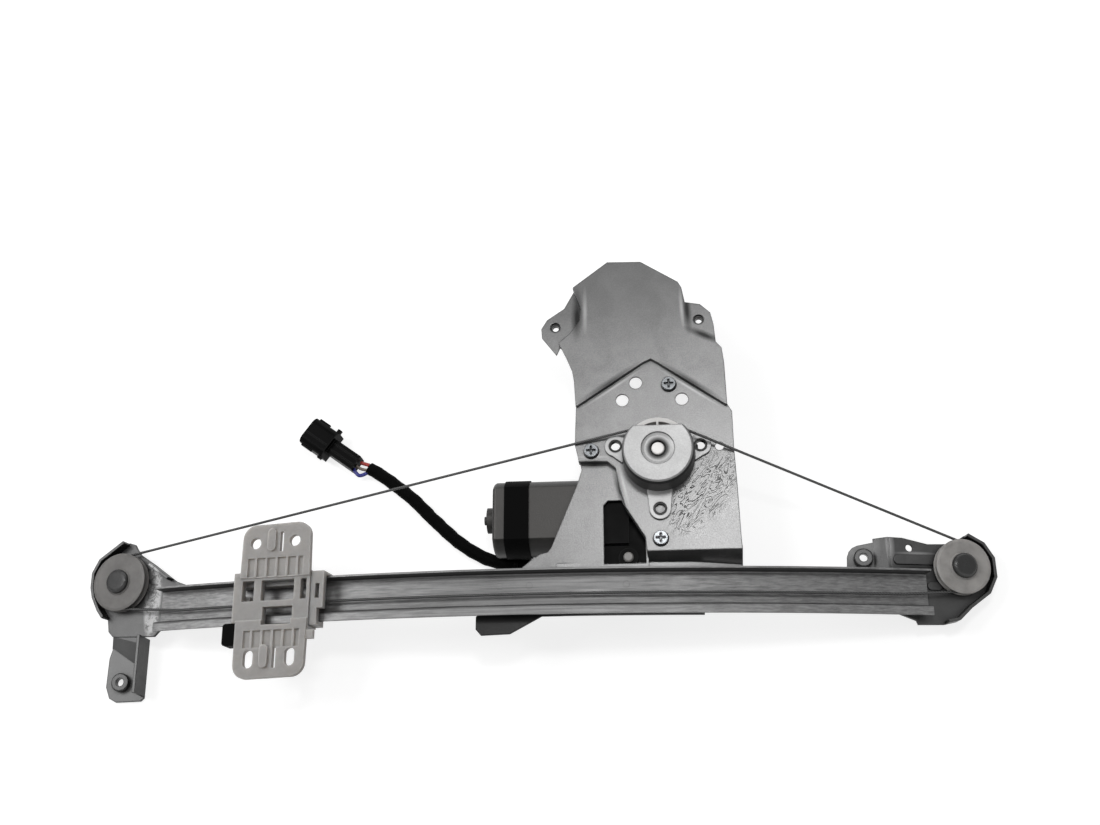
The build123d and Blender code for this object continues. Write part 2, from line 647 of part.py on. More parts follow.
WORM_PITCH = 2 * pi * (WHEEL_R - 0.65) / TEETH
with BuildPart() as worm:
    with BuildSketch(Plane.XZ.offset(-MOTOR_Y)):
        turns = 10
        x = DRUM_X - turns * WORM_PITCH / 2
        pts = [(WORM_X0, MOTOR_Z + ARM_R), (WORM_X0, MOTOR_Z + WORM_R - 1.3)]
        for i in range(turns):
            pts.append((x, MOTOR_Z + WORM_R - 1.3))
            pts.append((x + WORM_PITCH / 2, MOTOR_Z + WORM_R))
            x += WORM_PITCH
        pts += [(x, MOTOR_Z + WORM_R - 1.3), (WORM_X1, MOTOR_Z + WORM_R - 1.3)]
        pts += [(WORM_X1, MOTOR_Z + ARM_R)]
        Polygon(*pts, align=None)
    revolve(axis=MOTOR_AXIS)
save(worm, "worm")


def block(x0, x1, y0, y1, z0, z1, mode=Mode.ADD):
    with BuildSketch(Plane.XY.offset(z0)) as area:
        with Locations(((x0 + x1) / 2, (y0 + y1) / 2)):
            Rectangle(x1 - x0, y1 - y0)
    extrude(area.sketch, amount=z1 - z0, mode=mode)


with BuildPart() as brush_holder:
    block(58.8, 60.6, MOTOR_Y - 18, MOTOR_Y + 18, MOTOR_Z - 13, MOTOR_Z + 13)
    tube(58.0, 61.0, 5.0, mode=Mode.SUBTRACT)
    for sy in (-1, 1):
        y0, y1 = sorted((MOTOR_Y + sy * 9.2, MOTOR_Y + sy * 17.4))
        block(48.8, 58.8, y0, y1, MOTOR_Z - 4.2, MOTOR_Z + 4.2)
        y0, y1 = sorted((MOTOR_Y + sy * 9.0, MOTOR_Y + sy * 16.4))
        block(49.8, 57.0, y0, y1, MOTOR_Z - 3.2, MOTOR_Z + 3.2, Mode.SUBTRACT)
save(brush_holder, "brush_holder")

with BuildPart() as brushes:
    for sy in (-1, 1):
        y0, y1 = sorted((MOTOR_Y + sy * 8.5, MOTOR_Y + sy * 16.0))
        block(50.0, 56.8, y0, y1, MOTOR_Z - 3.0, MOTOR_Z + 3.0)
save(brushes, "motor_brushes")


# Gearbox: housing with three arms, bottom cover and the pin seen in the plate's window
PIN = (63.5, -57.0)
HOUSE_Z0, HOUSE_Z1 = 3.0, 33.0
with BuildPart() as gearbox:
    with BuildSketch(Plane.XY.offset(HOUSE_Z0)):
        with Locations(GEAR_AT):
            Circle(GEAR_R)
    extrude(amount=HOUSE_Z1 - HOUSE_Z0)
    with BuildSketch(Plane.XY.offset(HOUSE_Z1)):
        with Locations(GEAR_AT):
            Circle(14.0)
    extrude(amount=GEAR_TOP_Z - HOUSE_Z1)
    with BuildSketch(Plane.XY.offset(GEAR_TOP_Z)):
        for dx, dy in SCREWS:
            d = hypot(dx, dy)
            with Locations(at_drum(dx, dy)):
                Circle(SCREW_BOSS_R)
            ux, uy = dx / d, dy / d
            wide = 3.4
            Polygon(
                at_drum(uy * wide, -ux * wide), at_drum(-uy * wide, ux * wide),
                at_drum(dx - uy * wide, dy + ux * wide), at_drum(dx + uy * wide, dy - ux * wide),
                align=None,
            )
    extrude(amount=-4.5)
    with BuildSketch(Plane.XY.offset(GEAR_TOP_Z)):
        with Locations(*[at_drum(*p) for p in SCREWS]):
            Circle(SCREW_BOSS_R)
    extrude(amount=-9)
    tube(62.0, 110.0, 9.6)
    block(
        YOKE_X1 + 0.1, 46.0, MOTOR_Y - YOKE_R - 1.2, MOTOR_Y + YOKE_R + 0.8,
        MOTOR_Z - YOKE_FLAT - 1.0, MOTOR_Z + YOKE_FLAT + 0.6,
    )
    block(46.0, 64.0, -48.0, -7.0, 3.0, 37.0)
    block(46.0, 70.0, -63.0, -49.0, 0.5, 34.0)
    block(64.0, 74.8, -62.0, -34.0, 4.0, 34.0)
    with BuildSketch(Plane.XY.offset(33)):
        with Locations(PIN):
            Circle(6.0)
    extrude(amount=3.4)
    block(YOKE_X1, 46.0, -61.0, -49.4, 0.0, 11.0, Mode.SUBTRACT)
    with BuildSketch(Plane.XY.offset(HOUSE_Z0)):
        with Locations(GEAR_AT):
            Circle(WHEEL_R + 0.5)
    extrude(amount=24, mode=Mode.SUBTRACT)
    flatted(YOKE_X1, 42.0, YOKE_R - YOKE_WALL, YOKE_FLAT - YOKE_WALL, Mode.SUBTRACT)
    block(41.0, 61.0, -46.4, -8.6, 5.0, 35.0, Mode.SUBTRACT)
    tube(60.0, 66.0, ARM_R + RUNNING, mode=Mode.SUBTRACT)
    tube(66.0, 104.0, WORM_R + 0.5, mode=Mode.SUBTRACT)
    tube(104.0, ARM_END_X + 0.2, ARM_R + RUNNING, mode=Mode.SUBTRACT)
    with BuildSketch(Plane.XY.offset(20)):
        with Locations(GEAR_AT):
            Circle(SHAFT_R + RUNNING)
        with Locations(at_drum(*COVER_EARS[0]), at_drum(*COVER_EARS[1])):
            Circle(4.4)
        with Locations(*[at_drum(*p) for p in SCREWS]):
            Circle(SCREW_R)
    extrude(amount=30, mode=Mode.SUBTRACT)
save(gearbox, "gearbox_housing")

with BuildPart() as gearbox_cover:
    with BuildSketch(Plane.XY):
        with Locations(GEAR_AT):
            Circle(GEAR_R)
    extrude(amount=HOUSE_Z0 - 0.1)
    with BuildSketch(Plane.XY.offset(HOUSE_Z0 - 0.1)):
        with Locations(GEAR_AT):
            Circle(9.0)
    extrude(amount=9)
    with BuildSketch(Plane.XY.offset(HOUSE_Z0)):
        with Locations(GEAR_AT):
            Circle(SHAFT_R + RUNNING)
    extrude(amount=12, mode=Mode.SUBTRACT)
    with BuildSketch(Plane.XY):
        with Locations(GEAR_AT):
            Circle(4.6)
    extrude(amount=6, mode=Mode.SUBTRACT)
save(gearbox_cover, "gearbox_cover")

with BuildPart() as pin:
    with BuildSketch(Plane.XY.offset(36.4)):
        with Locations(PIN):
            Circle(3.0)
    extrude(amount=2.6)
    chamfer(pin.edges().group_by(Axis.Z)[-1], 0.8)
save(pin, "gearbox_pin")

with BuildPart() as screws:
    for dx, dy in SCREWS:
        with BuildSketch(Plane.XY.offset(FIELD_Z - 8)):
            with Locations(at_drum(dx, dy)):
                Circle(SCREW_R)
        extrude(amount=8)
        with BuildSketch(Plane.XY.offset(FIELD_Z)):
            with Locations(at_drum(dx, dy)):
                Circle(SCREW_HEAD_R)
        extrude(amount=3.0, taper=12)
        with BuildSketch(Plane.XY.offset(FIELD_Z + 3.0)):
            with Locations(at_drum(dx, dy)):
                Rectangle(5.6, 1.1)
                Rectangle(1.1, 5.6)
        extrude(amount=-1.6, mode=Mode.SUBTRACT)
save(screws, "motor_screws")


# Fasteners
def rivet_at(x, y, below):
    with BuildSketch(bow_plane(x, 0, y)) as shank:
        Circle(RAIL_RIVET_R)
    extrude(shank.sketch, amount=-(below + 0.2))
    with BuildSketch(bow_plane(x, -below, y)) as tail:
        Circle(3.0)
    extrude(tail.sketch, amount=-1.0)


with BuildPart() as rail_rivets:
    for x, y in RAIL_RIVETS:
        rivet_at(x, y, RAIL_SHEET + BRACKET_SHEET + 0.35)
    for x, y in PLATE_RIVETS:
        rivet_at(x, y, RAIL_SHEET + SHEET + 1.0)
save(rail_rivets, "rail_rivets")

with BuildPart() as pulley_rivets:
    for spin in (LEFT_SPIN, RIGHT_SPIN):
        top = PULLEY_RISE + PULLEY_HALF + 0.35
        with BuildSketch(spin.offset(-BRACKET_SHEET - 1.4)):
            Circle(5.6)
        extrude(amount=1.4)
        with BuildSketch(spin.offset(-BRACKET_SHEET - 0.2)):
            Circle(RIVET_R)
        extrude(amount=BRACKET_SHEET + top + 0.6)
        with BuildSketch(spin.offset(top)):
            Circle(RIVET_HEAD_R)
        extrude(amount=1.0)
        with BuildSketch(spin.offset(top + 1.0)):
            Circle(RIVET_HEAD_R)
        extrude(amount=1.5, taper=42)
save(pulley_rivets, "pulley_rivets")

with BuildPart() as m6_nuts:
    for at, z in ((FOOT_NUT, BRACKET_SHEET + 0.02), (EAR_NUT, EAR_TOP_Z + 0.02)):
        with BuildSketch(Plane.XY.offset(z)):
            with Locations(at):
                Circle(NUT_R)
                Circle(M6_BORE_R, mode=Mode.SUBTRACT)
        extrude(amount=4.0)
    chamfer(m6_nuts.edges().filter_by(GeomType.CIRCLE).filter_by(lambda e: e.radius > M6_BORE_R), 0.6)
save(m6_nuts, "bracket_nuts")

with BuildPart() as m5_nuts:
    for at, z in ((LEFT_NUT, EAR_Z - SHEET - 0.02), (RIGHT_NUT, UPPER_Z - SHEET - 0.02)):
        with BuildSketch(Plane.XY.offset(z)):
            with Locations(at):
                RegularPolygon(5.0, 6)
                Circle(M5_BORE_R, mode=Mode.SUBTRACT)
        extrude(amount=-4.0)
save(m5_nuts, "plate_nuts")


# Pulleys
def pulley(spin, rim_r):
    """Grooved plastic pulley, built in the plane of its bracket."""
    with BuildPart() as made:
        with BuildSketch(Plane(origin=spin.origin, x_dir=spin.x_dir, z_dir=-spin.y_dir)):
            with BuildLine():
                m, h = PULLEY_RISE, PULLEY_HALF
                root = rim_r - GROOVE - ROPE_R - ROPE_GAP
                Polyline(
                    (RIVET_R + RUNNING, m - h), (8.0, m - h), (8.6, m - h + 0.8),
                    (rim_r - 1.6, m - h + 0.8), (rim_r, m - h + 1.2),
                    (rim_r, m - 2.0), (root, m - 1.25), (root, m + 1.25), (rim_r, m + 2.0),
                    (rim_r, m + h - 1.2), (rim_r - 1.6, m + h - 0.8),
                    (8.6, m + h - 0.8), (8.0, m + h), (RIVET_R + RUNNING, m + h),
                    close=True,
                )
            make_face()
        revolve(axis=Axis(spin.origin, spin.z_dir))
    return made


left_pulley = pulley(LEFT_SPIN, LEFT_PULLEY_R)
save(left_pulley, "left_pulley")
right_pulley = pulley(RIGHT_SPIN, RIGHT_PULLEY_R)
save(right_pulley, "right_pulley")


# Ropes: round the drum, straight to each pulley, round it and along the rail
def circle_point(plane, radius, angle):
    return plane.from_local_coords(Vector(radius * cos(angle), radius * sin(angle), 0))


def corners(plane, radius, a0, a1):
    """Corners of three tangents round a circle, rounded later into its arc."""
    step = (a1 - a0) / 3
    away = radius / cos(step / 2)
    return [circle_point(plane, away, a0 + (i + 0.5) * step) for i in range(3)]


def rope(groove_z, spin, rim_r, side, seat_x, meet_x):
    """One rope; side is -1 for the left pulley and 1 for the right one."""
    pitch_r = rim_r - GROOVE
    drum = Plane(origin=(DRUM_X, DRUM_Y, groove_z))
    spin = spin.offset(PULLEY_RISE)
    run = Vector(spin.origin.X - DRUM_X, spin.origin.Y - DRUM_Y, 0)
    slant = asin((DRUM_PITCH_R - pitch_r) / run.length)
    leave = atan2(run.Y, run.X) + side * (pi / 2 - slant)
    wrap_end = leave + side * radians(150)
    seat = bow_plane(seat_x, ROPE_RISE, ROPE_Y)
    local = spin.to_local_coords(seat.origin)
    stop = atan2(local.Y, local.X) + side * acos(pitch_r / hypot(local.X, local.Y))
    while side * (leave - stop) < 0:
        stop -= side * 2 * pi
    while side * (leave - stop) > 2 * pi:
        stop += side * 2 * pi
    bow_points = [
        section_plane(x).from_local_coords(Vector(ROPE_Y, ROPE_ARC_R, 0))
        for x in ((seat_x + meet_x) / 2, meet_x)
    ]
    lead = side * radians(12)
    turns = 3 * [0.98 * DRUM_PITCH_R] + [11.0, 10.0] + 3 * [0.98 * pitch_r]
    with BuildPart() as made:
        with BuildLine() as route:
            FilletPolyline(
                circle_point(drum, DRUM_PITCH_R, wrap_end),
                *corners(drum, DRUM_PITCH_R, wrap_end, leave + lead),
                circle_point(drum, DRUM_PITCH_R / cos(lead / 2), leave + lead / 2),
                circle_point(spin, pitch_r / cos(lead / 2), leave - lead / 2),
                *corners(spin, pitch_r, leave - lead, stop), seat.origin,
                radius=turns,
            )
            ThreePointArc(seat.origin, *bow_points)
        path = route.wires()[0]
        with BuildSketch(Plane(origin=path @ 0, z_dir=path % 0)) as ring:
            Circle(ROPE_R)
        sweep(sections=ring.sketch, path=path)
    return made


left_rope = rope(
    DRUM_MID_Z - DRUM_PITCH, LEFT_SPIN, LEFT_PULLEY_R, -1, LEFT_SEAT_X, SLIDER_X - 0.05)
save(left_rope, "left_rope")
right_rope = rope(
    DRUM_MID_Z + DRUM_PITCH, RIGHT_SPIN, RIGHT_PULLEY_R, 1, RIGHT_SEAT_X, SLIDER_X + 0.05)
save(right_rope, "right_rope")


# Slider: glass carrier, its shoe, bumper and the two rope nipples
SLIDE = bow_plane(SLIDER_X)
UPPER_EAR = ((-25.6, -66.0), (-24.9, -33.2), (19.2, -32.3), (19.8, -66.0))
LOWER_EAR = ((-26.8, -92.0), (-26.6, -127.6), (18.8, -126.6), (19.4, -92.0))
EAR_CORNER = 8.5
GLASS_HOLES = ((-16.6, -44.6), (9.2, -44.0))
GLASS_SLOTS = ((-17.0, -115.6), (9.8, -115.0))
GLASS_HOLE_R = 3.5
LUG_U = 26.0


def slab(points, low, high, mode=Mode.ADD):
    with BuildSketch(SLIDE.offset(low)) as area:
        Polygon(*points, align=None)
    extrude(area.sketch, amount=high - low, mode=mode)


def ear(points, ends):
    with BuildSketch(SLIDE.offset(EAR_LOW)) as area:
        Polygon(*points, align=None)
        fillet(area.vertices().sort_by(Axis.Y)[ends], EAR_CORNER)
    extrude(area.sketch, amount=EAR_HIGH - EAR_LOW)


def bar(u0, u1, y0, y1, low, high, mode=Mode.ADD):
    slab(((u0, y0), (u1, y0), (u1, y1), (u0, y1)), low, high, mode)


LUG_RISE = ROPE_RISE - LUG_U ** 2 / (2 * ROPE_ARC_R)
with BuildPart() as slider:
    bar(BLOCK_U0, BLOCK_U1, BLOCK_Y0, BLOCK_Y1, COVER_LOW, BLOCK_TOP)
    bar(BLOCK_U0, BLOCK_U1, FLANGE_Y + 0.4, BLOCK_Y1, 1.0, COVER_LOW)
    bar(BLOCK_U0, BLOCK_U1, -70.0, FLANGE_Y - RAIL_SHEET - 0.5, 1.8, COVER_LOW)
    bar(BLOCK_U0, BLOCK_U1, BLOCK_Y0, LIP_Y - 0.5, 2.6, COVER_LOW)
    bar(BLOCK_U0, BLOCK_U1, BLOCK_Y0, LIP_Y + 2.4, 2.6, LIP_RISE - RAIL_SHEET - 1.0)
    bar(-LUG_U - 4, -LUG_U + 4, ROPE_Y - 4.2, ROPE_Y + 4.2, 1.6, COVER_LOW + 1)
    bar(BLOCK_U1 - 8, BLOCK_U1, ROPE_Y - 4.2, ROPE_Y + 4.2, 1.6, COVER_LOW + 1)
    bar(BLOCK_U0 - 1, -26.7, BLOCK_Y0 - 1, -93.1, 6.9, BLOCK_TOP + 1, Mode.SUBTRACT)
    ear(UPPER_EAR, slice(2, 4))
    ear(LOWER_EAR, slice(0, 2))
    bar(19.0, 23.8, -104.6, -99.4, EAR_LOW, EAR_HIGH - 0.6)
    for u0, u1, y0, y1 in (
        (-24.4, -16.5, -80.2, -67.6), (-11.8, 9.6, -80.2, -67.6), (13.8, 17.8, -80.2, -67.6),
        (-10.1, 9.3, -95.2, -84.0),
    ):
        bar(u0, u1, y0, y1, COVER_LOW - 1, BLOCK_TOP + 2, Mode.SUBTRACT)
    bar(-21.0, 15.2, -65.6, -54.0, EAR_HIGH - 1.6, EAR_HIGH + 1, Mode.SUBTRACT)
    for i in range(5):
        u = -16.5 + 6.8 * i
        bar(u, u + 1.4, -65.6, -54.0, EAR_HIGH - 2.4, EAR_HIGH)
    bar(-21.0, 15.2, -109.0, -98.6, EAR_HIGH - 1.6, EAR_HIGH + 1, Mode.SUBTRACT)
    for i in range(5):
        u = -16.5 + 6.8 * i
        bar(u, u + 1.4, -109.0, -98.6, EAR_HIGH - 2.4, EAR_HIGH)
    for u, y in ((-5.6, -43.0), (-6.6, -114.4)):
        with BuildSketch(SLIDE.offset(EAR_HIGH - 0.5)):
            with Locations((u, y)):
                SlotOverall(14.0, 5.4, rotation=90)
        extrude(amount=2.1)
    with BuildSketch(SLIDE.offset(EAR_HIGH + 5)):
        with Locations(*GLASS_HOLES):
            Circle(GLASS_HOLE_R)
        with Locations(*GLASS_SLOTS):
            SlotOverall(11.0, 2 * 3.2, rotation=90)
        with Locations((0.6, -44.2), (-0.2, -115.2)):
            Rectangle(2.2, 12.4)
    extrude(amount=-10, mode=Mode.SUBTRACT)
    with BuildSketch(Plane(origin=SLIDE.from_local_coords(Vector(BLOCK_U0 - 1, ROPE_Y, LUG_RISE)),
                           x_dir=(0, 1, 0), z_dir=SLIDE.x_dir)):
        Circle(2.6)
    extrude(amount=60, mode=Mode.SUBTRACT)
save(slider, "glass_slider")

with BuildPart() as nipples:
    for u0, u1 in ((-LUG_U - 3.6, -LUG_U + 3.8), (BLOCK_U1 - 7.8, BLOCK_U1 - 0.4)):
        with BuildSketch(Plane(origin=SLIDE.from_local_coords(Vector(u0, ROPE_Y, LUG_RISE)),
                               x_dir=(0, 1, 0), z_dir=SLIDE.x_dir)):
            Circle(2.6)
            Circle(ROPE_R + 0.55, mode=Mode.SUBTRACT)
        extrude(amount=u1 - u0)
save(nipples, "rope_nipples")

SHOE_U0 = BLOCK_U1 + 0.1
SHOE_U1, SHOE_STEP_U = SHOE_U0 + 8.4, SHOE_U0 + 4.6
SHOE_STEP_Y = -86.0
with BuildPart() as shoe:
    bar(SHOE_U0, SHOE_U1, SHOE_STEP_Y, BLOCK_Y1 - 0.8, COVER_LOW, 14.5)
    bar(SHOE_U0, SHOE_U1, FLANGE_Y + 0.4, BLOCK_Y1 - 0.8, 1.0, COVER_LOW)
    bar(SHOE_U0, SHOE_STEP_U, BLOCK_Y0 + 1, SHOE_STEP_Y, COVER_LOW, 14.5)
    bar(SHOE_U0, SHOE_STEP_U, BLOCK_Y0 + 1, LIP_Y - 0.5, 2.6, COVER_LOW)
    bar(SHOE_U0, SHOE_STEP_U, BLOCK_Y0 + 1, LIP_Y + 2.4, 2.6, LIP_RISE - RAIL_SHEET - 1.0)
    bar(SHOE_U0 + 3.0, SHOE_U1 - 2.6, -80.0, -71.0, COVER_LOW - 1, 15, Mode.SUBTRACT)
save(shoe, "slider_shoe")

with BuildPart() as bumper:
    bar(-35.6, -26.9, -106.8, -93.2, 7.0, 15.6)
    fillet(bumper.edges().filter_by(Axis(SLIDE.origin, SLIDE.z_dir)), 2.0)
save(bumper, "slider_bumper")


# Harness: sleeve, two wires, plug and grommet
SLEEVE_Z = SLEEVE_R + 0.05
GROMMET_Z = 5.4
SLEEVE_PATH = (
    (-105.5, 14.6, SLEEVE_Z), (-84.0, 1.6, SLEEVE_Z), (-50.5, -33.6, SLEEVE_Z),
    (-27.0, -49.4, SLEEVE_Z), (-2.0, -53.2, SLEEVE_Z), (41.8, -55.0, GROMMET_Z),
)


def bends(path, limp=0.45):
    """Radius of each bend: most of what the shorter neighbouring run allows."""
    radii = []
    for a, b, c in zip(path, path[1:], path[2:]):
        before, after = Vector(*b) - Vector(*a), Vector(*c) - Vector(*b)
        half_turn = radians(before.get_angle(after)) / 2
        radii.append(limp * min(before.length, after.length) / tan(half_turn))
    return radii


def cord(path, radius):
    with BuildPart() as made:
        radii = bends(path)
        print("bend radii", [round(r, 1) for r in radii])
        with BuildLine() as route:
            FilletPolyline(*path, radius=radii) if len(path) > 2 else Line(*path)
        with BuildSketch(Plane(origin=route.line @ 0, z_dir=route.line % 0)) as ring:
            Circle(radius)
        sweep(sections=ring.sketch, path=route.line)
    return made


sleeve = cord(SLEEVE_PATH, SLEEVE_R)
save(sleeve, "harness_sleeve")

PLUG = Plane(origin=(*PLUG_AT, 0), x_dir=(*PLUG_DIR, 0), z_dir=(0, 0, 1))
PLUG_HALF = 9.6
PLUG_TALL = 14.4
SHROUD = 19.0
REAR_END = 40.0
WIRE_Z = 5.2
with BuildPart() as plug:
    with BuildSketch(PLUG):
        with Locations((SHROUD / 2, 0)):
            Rectangle(SHROUD, 2 * PLUG_HALF)
    extrude(amount=PLUG_TALL)
    along = Axis(PLUG.origin, PLUG.x_dir)
    fillet(plug.edges().filter_by(along).group_by(Axis.Z)[-1], 4.5)
    with BuildSketch(PLUG.offset(0.2)):
        with Locations(((SHROUD + REAR_END) / 2 - 0.5, 0)):
            Rectangle(REAR_END - SHROUD + 1, 10.6)
    extrude(amount=10.4)
    with BuildSketch(PLUG.offset(1.8)):
        with Locations((SHROUD / 2 - 1.5, 0)):
            Rectangle(SHROUD - 1, 2 * PLUG_HALF - 3.6)
    extrude(amount=PLUG_TALL - 3.6, mode=Mode.SUBTRACT)
    with BuildSketch(PLUG.offset(PLUG_TALL - 6)):
        with Locations((6, PLUG_HALF + 0.3), (6, -PLUG_HALF - 0.3)):
            Rectangle(8, 1.6)
        with Locations((SHROUD - 1.4, PLUG_HALF + 0.7), (SHROUD - 1.4, -PLUG_HALF - 0.3)):
            Rectangle(2.8, 3.0)
    extrude(amount=2.4)
    with BuildSketch(PLUG.offset(10.4)):
        with Locations((30, 2.2), (30, -2.2)):
            Rectangle(19, 1.0)
    extrude(amount=0.9)
    with BuildSketch(PLUG.offset(PLUG_TALL - 0.2)):
        with Locations((9.5, -1.8)):
            Rectangle(17, 0.9)
    extrude(amount=0.7)
    for v in (-3.0, 3.0):
        with BuildSketch(PLUG.offset(WIRE_Z - 0.4)):
            with Locations((18.0, v)):
                Rectangle(12, 2.2)
        extrude(amount=0.8, mode=Mode.SUBTRACT)
save(plug, "plug_housing")

with BuildPart() as blades:
    for v in (-3.0, 3.0):
        with BuildSketch(PLUG.offset(WIRE_Z - 0.4)):
            with Locations((13.0, v)):
                Rectangle(18, 2.2)
        extrude(amount=0.8)
save(blades, "plug_terminals")


def plug_point(u, v, z):
    p = PLUG.from_local_coords(Vector(u, v, 0))
    return (p.X, p.Y, z)


MOUTH = Vector(*SLEEVE_PATH[0])
MOUTH_DIR = (Vector(*SLEEVE_PATH[1]) - MOUTH).normalized()


def mouth_point(aside):
    """A place just before the sleeve's end, to one side of its middle."""
    p = MOUTH - MOUTH_DIR * 0.9 + Vector(-MOUTH_DIR.Y, MOUTH_DIR.X, 0) * aside
    return (p.X, p.Y, WIRE_Z)


red = cord((plug_point(REAR_END + 0.9, 2.4, WIRE_Z), mouth_point(1.6)), WIRE_R)
save(red, "wire_red")
blue = cord((plug_point(REAR_END + 0.9, -2.4, WIRE_Z), mouth_point(-1.6)), WIRE_R)
save(blue, "wire_blue")

with BuildPart() as grommet:
    with BuildSketch(Plane.YZ.offset(42.2)):
        with Locations((-55.0, GROMMET_Z)):
            Circle(4.9)
    extrude(amount=3.7)
save(grommet, "harness_grommet")

print("bow centre", RAIL_MID_X, CENTRE_Z, "rope arc", ROPE_ARC_R)
print("pitch radii", DRUM_PITCH_R, LEFT_PULLEY_R - GROOVE, RIGHT_PULLEY_R - GROOVE)
print("drum centre", DRUM_X, DRUM_Y)
for name, spin in (("left", LEFT_SPIN), ("right", RIGHT_SPIN)):
    print(name, "pulley", spin.origin, spin.z_dir)
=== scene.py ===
"""The looks of the window regulator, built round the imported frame, in metres."""

import math

import bpy
import numpy as np
from mathutils import Matrix, Vector


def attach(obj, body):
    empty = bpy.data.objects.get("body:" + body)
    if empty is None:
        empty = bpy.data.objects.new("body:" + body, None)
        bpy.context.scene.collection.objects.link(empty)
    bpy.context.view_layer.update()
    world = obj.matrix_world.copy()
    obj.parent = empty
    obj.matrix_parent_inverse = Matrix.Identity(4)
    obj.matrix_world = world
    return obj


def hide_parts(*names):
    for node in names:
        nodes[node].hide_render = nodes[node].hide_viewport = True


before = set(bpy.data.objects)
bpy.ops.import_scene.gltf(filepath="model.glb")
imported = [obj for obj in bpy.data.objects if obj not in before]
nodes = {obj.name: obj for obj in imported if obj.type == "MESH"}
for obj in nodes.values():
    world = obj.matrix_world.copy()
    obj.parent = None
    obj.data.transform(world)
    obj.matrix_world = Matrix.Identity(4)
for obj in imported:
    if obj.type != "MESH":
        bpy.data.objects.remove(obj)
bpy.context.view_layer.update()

CAMERA_AT = (0.1059, -0.2678, 0.8937)
CAMERA_RIGHT = Vector((0.9945, 0.0, -0.1045))
CAMERA_BACK = Vector((0.0985, -0.3338, 0.9375))
LENS_MM = 47.74
SENSOR_MM = 36.0

FLOOR_HALF = 3.0
FLOOR_Z = -0.0003
FLOOR_TONE = 0.4
FLOOR_GLOW = 0.76
SURROUND_LIGHT = 0.3
SURROUND_SEEN = 1.0
# Name, place, aim, width and height, and power in watts.
LAMPS = [
    ("key", (-0.9, 0.3, 1.2), (-0.05, 0, 0.03), (0.7, 0.6), 9.5),
    ("glint", (0.16, 0.33, 1.5), (0.09, -0.04, 0.04), (0.3, 0.2), 5.0),
    ("fill", (0.7, -0.9, 1.3), (0, 0, 0), (1.2, 1.0), 1.5),
    ("back", (0.3, 1.3, 0.45), (0, 0, 0.02), (1.2, 0.5), 3.5),
]

SLEEVE_R = 0.0042
SLEEVE_Z = 0.00425
SLEEVE_ROUTE = [
    (0.0418, -0.0550, 0.0054),
    (-0.0020, -0.0532, SLEEVE_Z),
    (-0.0270, -0.0494, SLEEVE_Z),
    (-0.0505, -0.0336, SLEEVE_Z),
    (-0.0840, 0.0016, SLEEVE_Z),
    (-0.1055, 0.0146, SLEEVE_Z),
]
SLEEVE_STEP = 0.0012
TAPE_PITCH = 0.011
TAPE_THICK = 0.00022
TAPE_INSET = 0.00015

PLUG = Vector((-0.1458, 0.0403, 0.0052))
PLUG_ALONG = Vector((0.81, -0.586, 0.0)).normalized()
PLUG_ACROSS = Vector((0.586, 0.81, 0.0)).normalized()
BLUE_WIRE_R = 0.0012
TAN_WIRE_R = 0.0010
WIRE_STEP = 0.0004
# How far the bare wires reach into the sleeve's end.
WIRE_TUCK = 0.0012

TIE_SHARE = 0.30
TIE_SIDES = 28
TIE_INNER = SLEEVE_R + 0.0001
TIE_OUTER = SLEEVE_R + 0.0009
TIE_HALF_WIDTH = 0.0012
# Lower and upper side, reach beyond the band's outer face, and half width.
TIE_HEAD = ((-0.0012, 0.0014), (-0.0004, 0.0042), 0.0019)
TIE_TAIL = ((-0.0004, 0.0004), (0.0036, 0.0075), 0.0011)
TABLE_GAP = 0.0001
BOX_FACES = [(0, 1, 3, 2), (4, 6, 7, 5), (0, 4, 5, 1), (2, 3, 7, 6), (0, 2, 6, 4), (1, 5, 7, 3)]

# Sockets of the Mix node when it mixes colours.
MIX_A = 6
MIX_B = 7
MIX_RESULT = 2
EDGE_SAMPLES = 6


def camera():
    """The photograph's viewpoint: from above, tilted towards the lower edge of the image."""
    data = bpy.data.cameras.new("camera")
    data.sensor_fit = "HORIZONTAL"
    data.sensor_width = SENSOR_MM
    data.lens = LENS_MM
    data.clip_start = 0.01
    data.clip_end = 50.0
    seen = bpy.data.objects.new("camera", data)
    back = CAMERA_BACK.normalized()
    up = back.cross(CAMERA_RIGHT.normalized()).normalized()
    right = up.cross(back)
    turn = Matrix((right, up, back)).transposed().to_4x4()
    seen.matrix_world = Matrix.Translation(CAMERA_AT) @ turn
    bpy.context.scene.collection.objects.link(seen)
    bpy.context.scene.camera = seen


def grey(level, warm=0.0):
    """A linear colour that shows as this sRGB level from 0 to 255, warmer above warm zero."""
    rgb = [level * (1 + warm), level, level * (1 - warm)]
    return tuple(((c / 255 + 0.055) / 1.055) ** 2.4 for c in rgb) + (1.0,)


def node(tree, kind, inputs=None, **settings):
    """Adds a shader node, joins or sets its inputs, and returns it."""
    made = tree.nodes.new("ShaderNode" + kind)
    for key, value in settings.items():
        setattr(made, key, value)
    for key, value in (inputs or {}).items():
        if isinstance(value, bpy.types.NodeSocket):
            tree.links.new(value, made.inputs[key])
        else:
            made.inputs[key].default_value = value
    return made


def maths(tree, operation, a, b):
    return node(tree, "Math", {0: a, 1: b}, operation=operation).outputs[0]


def times(tree, a, b):
    return maths(tree, "MULTIPLY", a, b)


def plus(tree, a, b):
    return maths(tree, "ADD", a, b)


def place(tree, scale=(1, 1, 1)):
    """Object coordinates, stretched along the axes."""
    where = node(tree, "TexCoord").outputs["Object"]
    return node(tree, "Mapping", {"Vector": where, "Scale": scale}).outputs[0]


